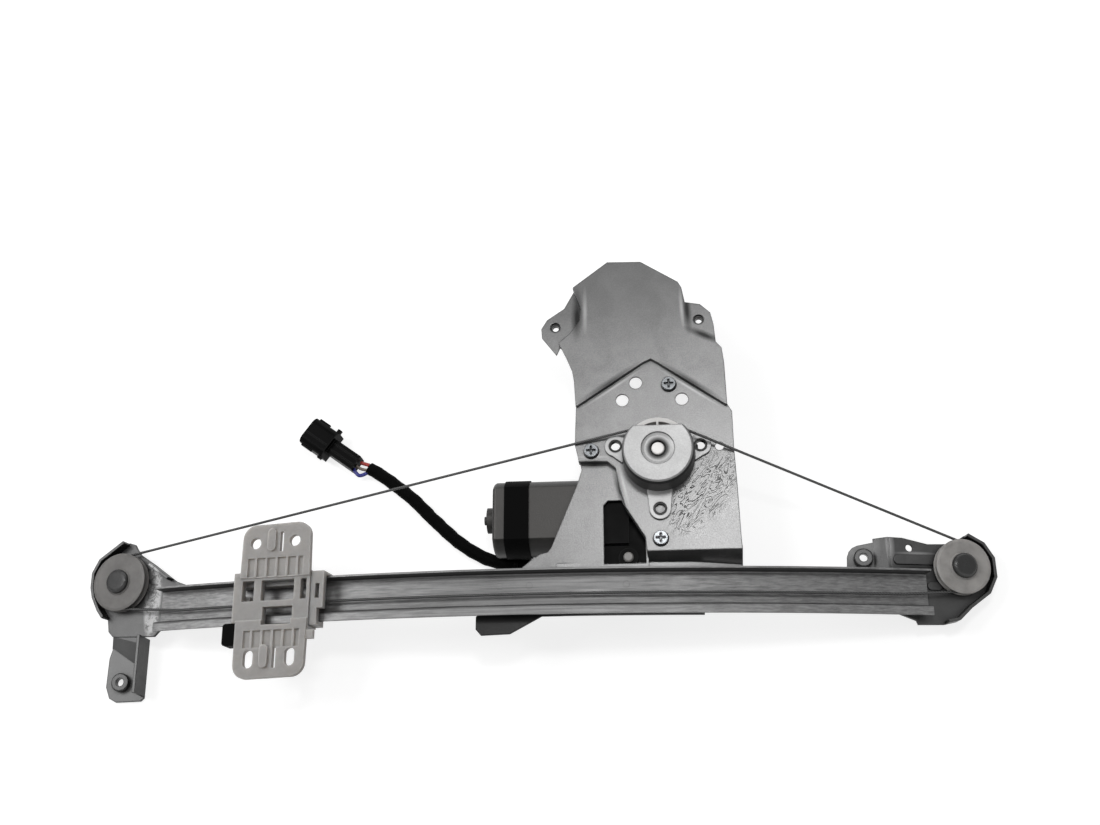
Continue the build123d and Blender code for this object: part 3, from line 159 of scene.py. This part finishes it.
def patch(tree, centre, turn, size):
    """Coordinates of a patch: zero at its centre, turned about Z and one at its size."""
    where = node(tree, "TexCoord").outputs["Object"]
    inputs = {
        "Vector": where,
        "Location": (*centre, 0.0),
        "Rotation": (0, 0, turn),
        "Scale": size,
    }
    return node(tree, "Mapping", inputs, vector_type="TEXTURE").outputs[0]


def noise(tree, vector, scale, detail=4.0, rough=0.55, twist=0.0):
    inputs = {
        "Vector": vector,
        "Scale": scale,
        "Detail": detail,
        "Roughness": rough,
        "Distortion": twist,
    }
    return node(tree, "TexNoise", inputs).outputs["Fac"]


def ramp(tree, factor, stops):
    """A colour ramp through stops of a place from 0 to 1 and a colour."""
    made = node(tree, "ValToRGB", {"Fac": factor})
    steps = made.color_ramp.elements
    while len(steps) < len(stops):
        steps.new(0.5)
    for step, (at, colour) in zip(steps, stops):
        step.position = at
        step.color = colour
    return made.outputs["Color"]


def spread(tree, factor, low, high, start=0.3, end=0.7):
    """Maps start..end, by default a texture's usual span, to low..high and clamps it there."""
    inputs = {
        "Value": factor,
        "From Min": start,
        "From Max": end,
        "To Min": low,
        "To Max": high,
    }
    return node(tree, "MapRange", inputs).outputs[0]


def mix(tree, amount, a, b, blend="MIX"):
    inputs = {0: amount, MIX_A: a, MIX_B: b}
    made = node(tree, "Mix", inputs, data_type="RGBA", blend_type=blend)
    return made.outputs[MIX_RESULT]


def scaled(tree, colour, share):
    """The colour times a grey share."""
    level = node(tree, "CombineColor", {"Red": share, "Green": share, "Blue": share}).outputs[0]
    return mix(tree, 1.0, colour, level, "MULTIPLY")


def surface(name, **fixed):
    """A new material and its shader, with the sockets that are the same all over set on it."""
    made = bpy.data.materials.new(name)
    made.use_nodes = True
    shader = made.node_tree.nodes["Principled BSDF"]
    for key, value in fixed.items():
        socket = key.replace("_", " ").title().replace("Ior", "IOR")
        shader.inputs[socket].default_value = value
    return made, made.node_tree, shader


def rounded(tree, radius):
    """The normal of a surface whose edges are rounded."""
    return node(tree, "Bevel", {"Radius": radius}, samples=EDGE_SAMPLES).outputs[0]


def relief(tree, shader, height, depth, strength=1.0, edge=0.0003):
    """Bumps the surface and softens its edges."""
    inputs = {
        "Height": height,
        "Distance": depth,
        "Strength": strength,
        "Normal": rounded(tree, edge),
    }
    tree.links.new(node(tree, "Bump", inputs).outputs[0], shader.inputs["Normal"])


def painted_crevice_shade(tree, colour, keep, reach=0.006):
    """Darkens a colour to a share of it where other surfaces are close by: painted shade in
    crevices and recesses.
    """
    shade = node(tree, "AmbientOcclusion", {"Distance": reach}, samples=EDGE_SAMPLES)
    share = spread(tree, shade.outputs["AO"], keep, 1.0, start=0.15, end=0.85)
    return scaled(tree, colour, share)


def painted_wall_shading(tree, colour, keep):
    """Scales a colour on steep walls: painted shade below one, painted highlight above one."""
    normal = node(tree, "NewGeometry").outputs["Normal"]
    upright = node(tree, "SeparateXYZ", {0: normal}).outputs["Z"]
    level = maths(tree, "ABSOLUTE", upright, 0.0)
    return scaled(tree, colour, spread(tree, level, keep, 1.0, start=0.5, end=0.95))


def rims(tree, colour, keep, radius):
    """Scales a colour on cut edges and tight bends: darker below one, a painted highlight above
    one.
    """
    flat = node(tree, "NewGeometry").outputs["True Normal"]
    inputs = {0: rounded(tree, radius), 1: flat}
    along = node(tree, "VectorMath", inputs, operation="DOT_PRODUCT").outputs["Value"]
    return scaled(tree, colour, spread(tree, along, keep, 1.0, start=0.78, end=0.985))


def near(tree, centre, half, turn, soft):
    """One inside an ellipse seen from above, falling to zero over its soft outer share."""
    local = patch(tree, centre, turn, (*half, 1000.0))
    distance = node(tree, "VectorMath", {0: local}, operation="LENGTH").outputs["Value"]
    return spread(tree, distance, 1.0, 0.0, start=1.0 - soft, end=1.0)


def wrinkles(tree, centre, half, turn):
    """The thin folds of a grease film, inside an ellipse: one on a fold and zero elsewhere."""
    stretched = patch(tree, centre, turn, (3.2, 1.0, 1.0))
    swirl = noise(tree, stretched, scale=230, detail=2, rough=0.45, twist=0.5)
    level = maths(tree, "PINGPONG", times(tree, swirl, 9.0), 0.5)
    fold = spread(tree, level, 1.0, 0.0, start=0.015, end=0.12)
    clouds = noise(tree, place(tree), scale=130, detail=2)
    broken = spread(tree, clouds, 0.0, 1.0, start=0.34, end=0.5)
    return times(tree, times(tree, fold, broken), near(tree, centre, half, turn, 0.6))


def steel(
    name,
    level,
    metal=0.5,
    rough=(0.34, 0.5),
    streak=0.0,
    cloud=0.10,
    warm=0.0,
    grain=0.04,
    keep=0.45,
    wall=0.35,
    rim=0.3,
    edge=0.0009,
    film=(),
    painted_light_and_stains=(),
    mottled=False,
):
    """Zinc-coated steel: soft clouds, fine grain, and drawing streaks along X where asked.

    keep, wall and rim are the shares of its colour that it keeps in crevices, on steep walls and
    on edges:
    painted shade in crevices and on walls below one, darker edges below one, painted highlights
    above one.
    film holds patches of grease, and the patch list after it patches of another tone: painted
    shade, painted highlights, and grease painted pale as its sheen.
    """
    made, tree, shader = surface(name, metallic=metal, specular_ior_level=0.25)
    plain = place(tree)
    clouds = noise(tree, plain, scale=55, detail=5, rough=0.6, twist=0.4)
    fine = noise(tree, plain, scale=1500, detail=2, rough=0.5)
    lines = noise(tree, place(tree, (14, 900, 900)), scale=1.0, detail=3, rough=0.6)
    tone = plus(tree, spread(tree, clouds, -cloud, cloud), 0.5)
    tone = plus(tree, tone, spread(tree, fine, -grain, grain))
    if streak:
        tone = plus(tree, tone, spread(tree, lines, -streak, streak))
    darkest, palest = grey(level * 0.72, warm), grey(level * 1.2, warm)
    colour = ramp(tree, tone, [(0.1, darkest), (0.9, palest)])
    height = plus(tree, fine, times(tree, lines, 3 * streak))
    for centre, half, turn in film:
        fold = wrinkles(tree, centre, half, turn)
        colour = mix(tree, times(tree, fold, 0.95), colour, grey(level * 0.25))
        height = plus(tree, height, times(tree, fold, 2.5))
    for centre, half, turn, soft, amount, share in painted_light_and_stains:
        spot = times(tree, near(tree, centre, half, turn, soft), amount)
        if mottled:
            blotches = noise(tree, plain, scale=300, detail=5, rough=0.7, twist=1.0)
            spot = times(tree, spot, spread(tree, blotches, 0.0, 1.0, start=0.4, end=0.52))
        colour = mix(tree, spot, colour, grey(level * share))
    colour = rims(tree, painted_wall_shading(tree, colour, wall), rim, 1.2 * edge)
    tree.links.new(painted_crevice_shade(tree, colour, keep), shader.inputs["Base Color"])
    tree.links.new(spread(tree, clouds, *rough), shader.inputs["Roughness"])
    relief(tree, shader, height, depth=0.00012, strength=0.5 if grain else 0.1, edge=edge)
    return made


def plastic(
    name,
    level,
    rough=(0.35, 0.5),
    warm=0.0,
    specular=0.5,
    soft=0.0,
    mottle=0.06,
    keep=0.6,
    edge=0.0004,
    edge_highlight=1.0,
):
    """Moulded plastic with a faint texture, and a little light inside where soft.

    keep is the share of its colour in crevices, as painted shade; the last argument is its share
    on edges, which above one paints highlights there.
    """
    made, tree, shader = surface(name, specular_ior_level=specular)
    plain = place(tree)
    clouds = noise(tree, plain, scale=90, detail=4, rough=0.6)
    grain = noise(tree, plain, scale=2600, detail=2, rough=0.5)
    darkest, palest = grey(level * (1 - mottle), warm), grey(level * (1 + mottle), warm)
    colour = ramp(tree, clouds, [(0.3, darkest), (0.7, palest)])
    if edge_highlight != 1.0:
        colour = rims(tree, colour, edge_highlight, 2.2 * edge)
    if keep < 1.0:
        colour = painted_crevice_shade(tree, colour, keep)
    tree.links.new(colour, shader.inputs["Base Color"])
    tree.links.new(spread(tree, clouds, *rough), shader.inputs["Roughness"])
    if soft:
        shader.inputs["Subsurface Weight"].default_value = soft
        shader.inputs["Subsurface Radius"].default_value = (1.0, 0.9, 0.8)
        shader.inputs["Subsurface Scale"].default_value = 0.012 * soft
    relief(tree, shader, grain, depth=0.00005, strength=0.4, edge=edge)
    return made


def stranded(name, level):
    """Steel rope: fine slanting strands with dark grooves between them, and painted shade where
    other surfaces are close.
    """
    made, tree, shader = surface(name, metallic=0.5, roughness=0.4)
    inputs = {"Vector": place(tree, (1.0, 0.8, 0.8)), "Scale": 420, "Distortion": 0.0}
    wave = node(tree, "TexWave", inputs, bands_direction="DIAGONAL").outputs["Fac"]
    colour = ramp(tree, wave, [(0.0, grey(level * 0.5)), (0.6, grey(level))])
    tree.links.new(painted_crevice_shade(tree, colour, 0.5, reach=0.003), shader.inputs["Base Color"])
    relief(tree, shader, wave, depth=0.00015, strength=0.8, edge=0.0001)
    return made


def copper(name):
    """Enamelled copper, in fine lines along X."""
    made, tree, shader = surface(name, metallic=0.9)
    wires = noise(tree, place(tree, (30, 2500, 2500)), scale=1.0, detail=2)
    colour = ramp(tree, wires, [(0.3, (0.19, 0.05, 0.02, 1)), (0.7, (0.62, 0.24, 0.10, 1))])
    tree.links.new(colour, shader.inputs["Base Color"])
    tree.links.new(spread(tree, wires, 0.25, 0.4), shader.inputs["Roughness"])
    relief(tree, shader, wires, depth=0.0002)
    return made


def taped(name):
    """Black cloth tape, with a fine weave and dull folds."""
    made, tree, shader = surface(name, specular_ior_level=0.02)
    plain = place(tree)
    weave = noise(tree, plain, scale=2600, detail=3, rough=0.7)
    folds = noise(tree, plain, scale=420, detail=4, rough=0.6, twist=1.0)
    colour = ramp(tree, weave, [(0.3, grey(4)), (0.7, grey(11))])
    tree.links.new(colour, shader.inputs["Base Color"])
    tree.links.new(spread(tree, folds, 0.42, 0.62), shader.inputs["Roughness"])
    relief(tree, shader, plus(tree, weave, folds), depth=0.0003, strength=0.7)
    return made


def coloured(name, colour):
    """A smooth skin of one colour, a little uneven: wire insulation and dull brass."""
    made, tree, shader = surface(name, roughness=0.35)
    clouds = noise(tree, place(tree), scale=600, detail=3)
    dark = tuple(c * 0.75 for c in colour) + (1.0,)
    shade = ramp(tree, clouds, [(0.3, dark), (0.7, colour + (1.0,))])
    tree.links.new(shade, shader.inputs["Base Color"])
    relief(tree, shader, clouds, depth=0.00005)
    return made


def dress(material, *names):
    """Gives CAD nodes their material."""
    for name in names:
        slots = nodes[name].data.materials
        slots.clear()
        slots.append(material)


def mesh_piece(name, verts, faces, material, smooth=True):
    """A new mesh that rides on the frame."""
    data = bpy.data.meshes.new(name)
    data.from_pydata([tuple(v) for v in verts], [], faces)
    data.validate()
    if smooth:
        data.shade_smooth()
    data.materials.append(material)
    made = bpy.data.objects.new(name, data)
    bpy.context.scene.collection.objects.link(made)
    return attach(made, "frame")


def spline_points(name, route):
    """The points of the smooth NURBS line through a route, read from Blender's own curve."""
    data = bpy.data.curves.new(name, "CURVE")
    data.dimensions = "3D"
    data.resolution_u = 24
    line = data.splines.new("NURBS")
    line.points.add(len(route) - 1)
    for point, at in zip(line.points, route):
        point.co = (*at, 1.0)
    line.order_u = 3
    line.use_endpoint_u = True
    made = bpy.data.objects.new(name, data)
    bpy.context.scene.collection.objects.link(made)
    bpy.context.view_layer.update()
    read = bpy.data.meshes.new_from_object(made)
    points = [v.co.copy() for v in read.vertices]
    bpy.data.meshes.remove(read)
    bpy.data.objects.remove(made)
    bpy.data.curves.remove(data)
    return points


def even(points, step):
    """The same line with points at even steps, and the way along it at each."""
    p = np.array([tuple(q) for q in points])
    run = np.concatenate([[0], np.cumsum(np.linalg.norm(np.diff(p, axis=0), axis=1))])
    s = np.linspace(0, run[-1], max(2, int(round(run[-1] / step)) + 1))
    points = [Vector([float(np.interp(t, run, p[:, i])) for i in range(3)]) for t in s]
    return points, [float(t) for t in s]


def tube(path, along, radius, sides):
    """Vertices and faces of a tube whose radius depends on the way along and round."""
    verts, faces = [], []
    side = Vector((0, 0, 1))
    last = len(path) - 1
    for i, at in enumerate(path):
        ahead = (path[min(i + 1, last)] - path[max(i - 1, 0)]).normalized()
        side = (side - side.dot(ahead) * ahead).normalized()
        other = ahead.cross(side)
        for k in range(sides):
            a = 2 * math.pi * k / sides
            out = math.cos(a) * side + math.sin(a) * other
            verts.append(at + radius(along[i], a) * out)
    for i in range(last):
        here, there = i * sides, (i + 1) * sides
        for k in range(sides):
            n = (k + 1) % sides
            faces.append((here + k, here + n, there + n, there + k))
    faces.append(tuple(range(sides))[::-1])
    faces.append(tuple(range(last * sides, (last + 1) * sides)))
    return verts, faces


def sleeve_radius(s, a):
    """Half-lapped tape: one raised edge each turn, and a little unevenness."""
    turn = (s / TAPE_PITCH + a / (2 * math.pi)) % 1.0
    lap = TAPE_THICK * (1 - turn)
    uneven = 0.00010 * math.sin(610 * s + 2 * a) + 0.00008 * math.sin(235 * s + a)
    return SLEEVE_R - TAPE_INSET + lap + uneven


def bent_wire(name, route, radius, material):
    """A short bare wire along a smooth line."""
    path, along = even(spline_points(name + "_line", route), WIRE_STEP)
    verts, faces = tube(path, along, lambda s, a: radius, 16)
    wire = mesh_piece(name, verts, faces, material)
    return wire


def tie(path, material):
    """A cable tie round the sleeve, with its head and cut tail, clear of the table."""
    i = int(TIE_SHARE * (len(path) - 1))
    middle, ahead = path[i], (path[i + 1] - path[i - 1]).normalized()
    side = Vector((0, 0, 1))
    other = ahead.cross(side)
    verts, faces = [], []
    corners = (
        (TIE_INNER, -TIE_HALF_WIDTH),
        (TIE_OUTER, -TIE_HALF_WIDTH),
        (TIE_OUTER, TIE_HALF_WIDTH),
        (TIE_INNER, TIE_HALF_WIDTH),
    )
    for k in range(TIE_SIDES):
        a = 2 * math.pi * k / TIE_SIDES
        out = math.cos(a) * side + math.sin(a) * other
        verts += [middle + r * out + w * ahead for r, w in corners]
        n = (k + 1) % TIE_SIDES
        for c in range(4):
            d = (c + 1) % 4
            faces.append((4 * k + c, 4 * k + d, 4 * n + d, 4 * n + c))
    for heights, reach, half in (TIE_HEAD, TIE_TAIL):
        start = len(verts)
        for y in reach:
            for z in heights:
                for x in (-half, half):
                    verts.append(middle - other * (TIE_OUTER + y) + side * z + ahead * x)
        faces += [tuple(start + k for k in face) for face in BOX_FACES]
    for vert in verts:
        vert.z = max(vert.z, TABLE_GAP)
    return mesh_piece("harness_tie", verts, faces, material, smooth=False)


def at_plug(along, across, z):
    """A place given in the plug's own directions."""
    return tuple(PLUG + along * PLUG_ALONG + across * PLUG_ACROSS + Vector((0, 0, z)))


def harness(tape, blue, tan, black):
    """The taped harness with its plug, tie and short bare lengths of wire."""
    path, along = even(spline_points("sleeve_line", SLEEVE_ROUTE), SLEEVE_STEP)
    verts, faces = tube(path, along, sleeve_radius, 20)
    sleeve = mesh_piece("harness_tape", verts, faces, tape)
    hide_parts("harness_sleeve")

    mouth = Vector(SLEEVE_ROUTE[-1])
    inside = mouth - WIRE_TUCK * (mouth - Vector(SLEEVE_ROUTE[-2])).normalized()
    blue_route = [
        at_plug(0.0385, -0.0030, 0.0),
        at_plug(0.0425, -0.0050, 0.0004),
        at_plug(0.0470, -0.0053, 0.0006),
        tuple(inside - 0.0022 * PLUG_ACROSS + Vector((0, 0, 0.0006))),
    ]
    bend = bent_wire("blue_wire_bend", blue_route, BLUE_WIRE_R, blue)
    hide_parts("wire_blue")
    tan_route = [
        at_plug(0.0385, -0.0004, 0.0),
        at_plug(0.0440, -0.0022, -0.0004),
        tuple(inside - 0.0004 * PLUG_ACROSS),
    ]
    strip = bent_wire("tan_wire_bend", tan_route, TAN_WIRE_R, tan)
    band = tie(path, black)


def soft_light(name, at, towards, size, power):
    data = bpy.data.lights.new(name, "AREA")
    data.shape = "RECTANGLE"
    data.size, data.size_y = size
    data.energy = power
    made = bpy.data.objects.new(name, data)
    aim = (Vector(towards) - Vector(at)).to_track_quat("-Z", "Y")
    made.matrix_world = Matrix.Translation(at) @ aim.to_matrix().to_4x4()
    bpy.context.scene.collection.objects.link(made)


def seen_directly(tree):
    """One where a ray comes from the camera, a reflection or through glass."""
    path = node(tree, "LightPath").outputs
    glossy = maths(tree, "MAXIMUM", path["Is Camera Ray"], path["Is Glossy Ray"])
    return maths(tree, "MAXIMUM", glossy, path["Is Transmission Ray"])


def surround():
    """A world that is white where it is seen and lights the object more weakly."""
    world = bpy.data.worlds.new("surround")
    world.use_nodes = True
    tree = world.node_tree
    tree.nodes.clear()
    white = (1, 1, 1, 1)
    around = node(tree, "Background", {"Color": white, "Strength": SURROUND_LIGHT})
    seen = node(tree, "Background", {"Color": white, "Strength": SURROUND_SEEN})
    inputs = {0: seen_directly(tree), 1: around.outputs[0], 2: seen.outputs[0]}
    mixed = node(tree, "MixShader", inputs)
    out = node(tree, "OutputWorld")
    tree.links.new(mixed.outputs[0], out.inputs["Surface"])
    bpy.context.scene.world = world


def floor():
    """A pale floor that shows white and keeps the object's shadow."""
    data = bpy.data.meshes.new("floor")
    half = FLOOR_HALF
    corners = [(-half, -half, 0), (half, -half, 0), (half, half, 0), (-half, half, 0)]
    data.from_pydata(corners, [], [(0, 1, 2, 3)])
    made = bpy.data.objects.new("floor", data)
    made.location.z = FLOOR_Z
    bpy.context.scene.collection.objects.link(made)
    pale = bpy.data.materials.new("floor_pale")
    pale.use_nodes = True
    tree = pale.node_tree
    tree.nodes.clear()
    matt = node(tree, "BsdfDiffuse", {"Color": (FLOOR_TONE, FLOOR_TONE, FLOOR_TONE, 1)})
    strength = times(tree, seen_directly(tree), FLOOR_GLOW)
    glow = node(tree, "Emission", {"Color": (1, 1, 1, 1), "Strength": strength})
    both = node(tree, "AddShader", {0: matt.outputs[0], 1: glow.outputs[0]})
    out = node(tree, "OutputMaterial")
    tree.links.new(both.outputs[0], out.inputs["Surface"])
    data.materials.append(pale)


camera()
surround()
floor()
for lamp in LAMPS:
    soft_light(*lamp)
bpy.context.scene.view_settings.view_transform = "Standard"

# Patches on the steel, seen from above: centre, half sizes and turn. A patch goes on with the
# soft share of its size, its amount, and its tone as a share of the steel's level; most are
# painted shade and painted highlights.
PLATE_GREASE = [((0.108, -0.020), (0.034, 0.018), 0.85)]
PLATE_PAINTED_LIGHT = [
    # The plate's foot, which shows below the rail, darkened: painted shadow of the rail.
    ((-0.012, -0.098), (0.06, 0.028), 0.0, 0.3, 0.95, 0.3),
    # The upper field, darkened: painted shade.
    ((0.07, 0.14), (0.09, 0.075), 0.0, 0.6, 0.6, 0.8),
    # Painted shade on the bends beside both ears, and on the shoulder under the right one.
    ((0.0338, 0.0985), (0.0045, 0.02), 0.0, 0.8, 0.95, 0.2),
    ((0.1034, 0.0985), (0.0032, 0.018), 0.05, 0.8, 0.95, 0.25),
    ((0.1135, 0.0808), (0.015, 0.0032), -0.45, 0.8, 0.95, 0.25),
    # The two arms of the roof-shaped step: painted shade above and a painted highlight below.
    ((0.0538, 0.051), (0.027, 0.0028), 0.586, 0.9, 0.85, 0.3),
    ((0.1046, 0.0501), (0.028, 0.0028), -0.616, 0.9, 0.85, 0.3),
    ((0.0553, 0.0484), (0.025, 0.0011), 0.586, 0.9, 0.6, 1.4),
    ((0.1030, 0.0475), (0.026, 0.0011), -0.616, 0.9, 0.6, 1.4),
    # Pale streaks on the field, along the ears' bends: painted highlights.
    ((0.0393, 0.1000), (0.0018, 0.018), 0.0, 0.9, 0.38, 1.6),
    ((0.1000, 0.1000), (0.0016, 0.016), 0.05, 0.9, 0.38, 1.6),
    # The step above and beside the leg: painted shade on the leg's side and a painted highlight
    # on the other.
    ((0.0433, 0.0006), (0.0115, 0.0024), -0.02, 0.9, 0.85, 0.35),
    ((0.0584, -0.0153), (0.0155, 0.0024), -1.342, 0.9, 0.85, 0.35),
    ((0.0433, 0.0044), (0.0115, 0.0011), -0.02, 0.9, 0.35, 1.5),
    ((0.0619, -0.0146), (0.0155, 0.0011), -1.342, 0.9, 0.3, 1.5),
]
# Grease on the left bracket, at the rail's end, painted pale as its sheen.
LEFT_GREASE_AND_SHEEN = [((-0.2405, -0.068), (0.0065, 0.03), 0.0, 0.25, 0.8, 1.7)]
# Painted highlights on the right bracket's bend beside its ear and on the bead's pale side,
# painted shade on the bead's dark side, and the ear paler.
RIGHT_PAINTED_LIGHT = [
    ((0.2208, -0.0490), (0.0030, 0.013), 0.0, 0.8, 0.85, 1.9),
    ((0.2365, -0.0535), (0.0150, 0.0013), 0.0, 0.8, 0.8, 1.8),
    ((0.2365, -0.0625), (0.0150, 0.0016), 0.0, 0.8, 0.85, 0.4),
    ((0.2030, -0.0500), (0.0130, 0.014), 0.0, 0.6, 0.7, 1.5),
]
# Painted shade: a dark ring in the recess round the cover's centre hole.
COVER_PAINTED_SHADE = [((0.0834, 0.003), (0.0078, 0.0078), 0.0, 0.25, 0.85, 0.2)]

# Each steel keeps a share of its colour in crevices and on steep walls: painted shade.
SHEET = steel(
    "zinc_sheet",
    112,
    metal=0.6,
    rough=(0.28, 0.34),
    grain=0.11,
    keep=0.75,
    wall=0.6,
    film=PLATE_GREASE,
    painted_light_and_stains=PLATE_PAINTED_LIGHT,
)
RAIL = steel("zinc_rail", 110, streak=0.26, rim=1.0, edge=0.0003)
NUT = steel("nut_steel", 62, metal=0.75, rough=(0.25, 0.35), grain=0.0)
LEFT_BRACKET = steel(
    "left_zinc", 94, cloud=0.16, wall=0.16, painted_light_and_stains=LEFT_GREASE_AND_SHEEN, mottled=True
)
RIGHT_BRACKET = steel("right_zinc", 74, cloud=0.16, rim=0.5, painted_light_and_stains=RIGHT_PAINTED_LIGHT)
COVER = steel("zinc_cover", 160, cloud=0.05, grain=0.08, wall=0.08, painted_light_and_stains=COVER_PAINTED_SHADE)
BRIGHT = steel(
    "zinc_bright", 106, metal=0.75, rough=(0.2, 0.3), warm=-0.02, grain=0.0, keep=0.1, wall=0.3
)
# Paler walls and rims on the rivet heads: painted highlights.
RIVET = steel(
    "rivet_steel", 54, metal=0.9, rough=(0.22, 0.3), grain=0.0, wall=1.6, rim=1.6, edge=0.0022
)
YOKE = steel("yoke_grey", 58, metal=0.4, rough=(0.34, 0.46), warm=0.02, rim=0.5)
DARK_STEEL = steel("dark_steel", 46, metal=0.8, rough=(0.3, 0.42), grain=0.0, rim=0.8)
MAGNET = steel("magnet_grey", 60, metal=0.2, rough=(0.5, 0.7))
WHITE = plastic("white_nylon", 206, warm=0.008, soft=0.2)
PALE = plastic("pale_nylon", 240, warm=0.008, keep=1.0)
# Paler edges on the pin and the slider: painted highlights.
PIN = plastic("pin_grey", 128, warm=0.014, keep=1.0, edge=0.0006, edge_highlight=1.9)
SLIDER = plastic(
    "slider_white", 140, warm=0.014, specular=0.3, soft=1.0, keep=0.9, edge=0.0008, edge_highlight=1.3
)
LEFT_PULLEY = plastic(
    "left_pulley_grey", 106, rough=(0.34, 0.46), warm=0.016, specular=0.25, soft=0.3, mottle=0.1
)
RIGHT_PULLEY = plastic(
    "right_pulley_grey", 142, rough=(0.34, 0.46), warm=0.016, specular=0.25, soft=0.3, mottle=0.1
)
# Paler edges on the black plastic: painted highlights along its ridges.
BLACK = plastic(
    "black_plastic", 9, rough=(0.3, 0.42), specular=0.03, mottle=0.15, edge=0.0005, edge_highlight=9.0
)
RUBBER = plastic("black_rubber", 10, rough=(0.5, 0.65), specular=0.02, mottle=0.2)
GEAR = plastic("gear_green", 150, warm=-0.03)
ROPE = stranded("steel_rope", 74)
COPPER = copper("copper_wire")
TAPE = taped("cloth_tape")
BRASS = coloured("brass", (0.62, 0.42, 0.16))
RED = coloured("red_wire", (0.36, 0.015, 0.008))
BLUE = coloured("blue_wire", (0.01, 0.015, 0.22))
TAN = coloured("tan_wire", (0.20, 0.16, 0.13))

dress(SHEET, "motor_plate")
dress(RAIL, "guide_rail", "rail_rivets")
dress(LEFT_BRACKET, "left_pulley_bracket")
dress(RIGHT_BRACKET, "right_pulley_bracket")
dress(COVER, "drum_cover")
dress(BRIGHT, "motor_screws", "plug_terminals")
dress(NUT, "bracket_nuts", "plate_nuts")
dress(RIVET, "pulley_rivets")
dress(YOKE, "motor_yoke", "end_bearing")
dress(DARK_STEEL, "cover_eyelets", "output_shaft", "armature_shaft", "armature_core", "worm")
dress(MAGNET, "field_magnets", "motor_brushes")
dress(WHITE, "cable_drum")
dress(PALE, "hub_plug")
dress(PIN, "gearbox_pin")
dress(SLIDER, "glass_slider", "slider_shoe")
dress(LEFT_PULLEY, "left_pulley")
dress(RIGHT_PULLEY, "right_pulley")
dress(BLACK, "gearbox_housing", "gearbox_cover", "plug_housing", "brush_holder")
dress(RUBBER, "yoke_band", "slider_bumper", "harness_grommet")
dress(GEAR, "worm_wheel")
dress(ROPE, "left_rope", "right_rope", "drum_rope_turns")
dress(COPPER, "armature_windings", "commutator")
dress(TAPE, "harness_sleeve")
dress(BRASS, "rope_nipples")
dress(RED, "wire_red")
dress(BLUE, "wire_blue")

harness(TAPE, BLUE, TAN, BLACK)
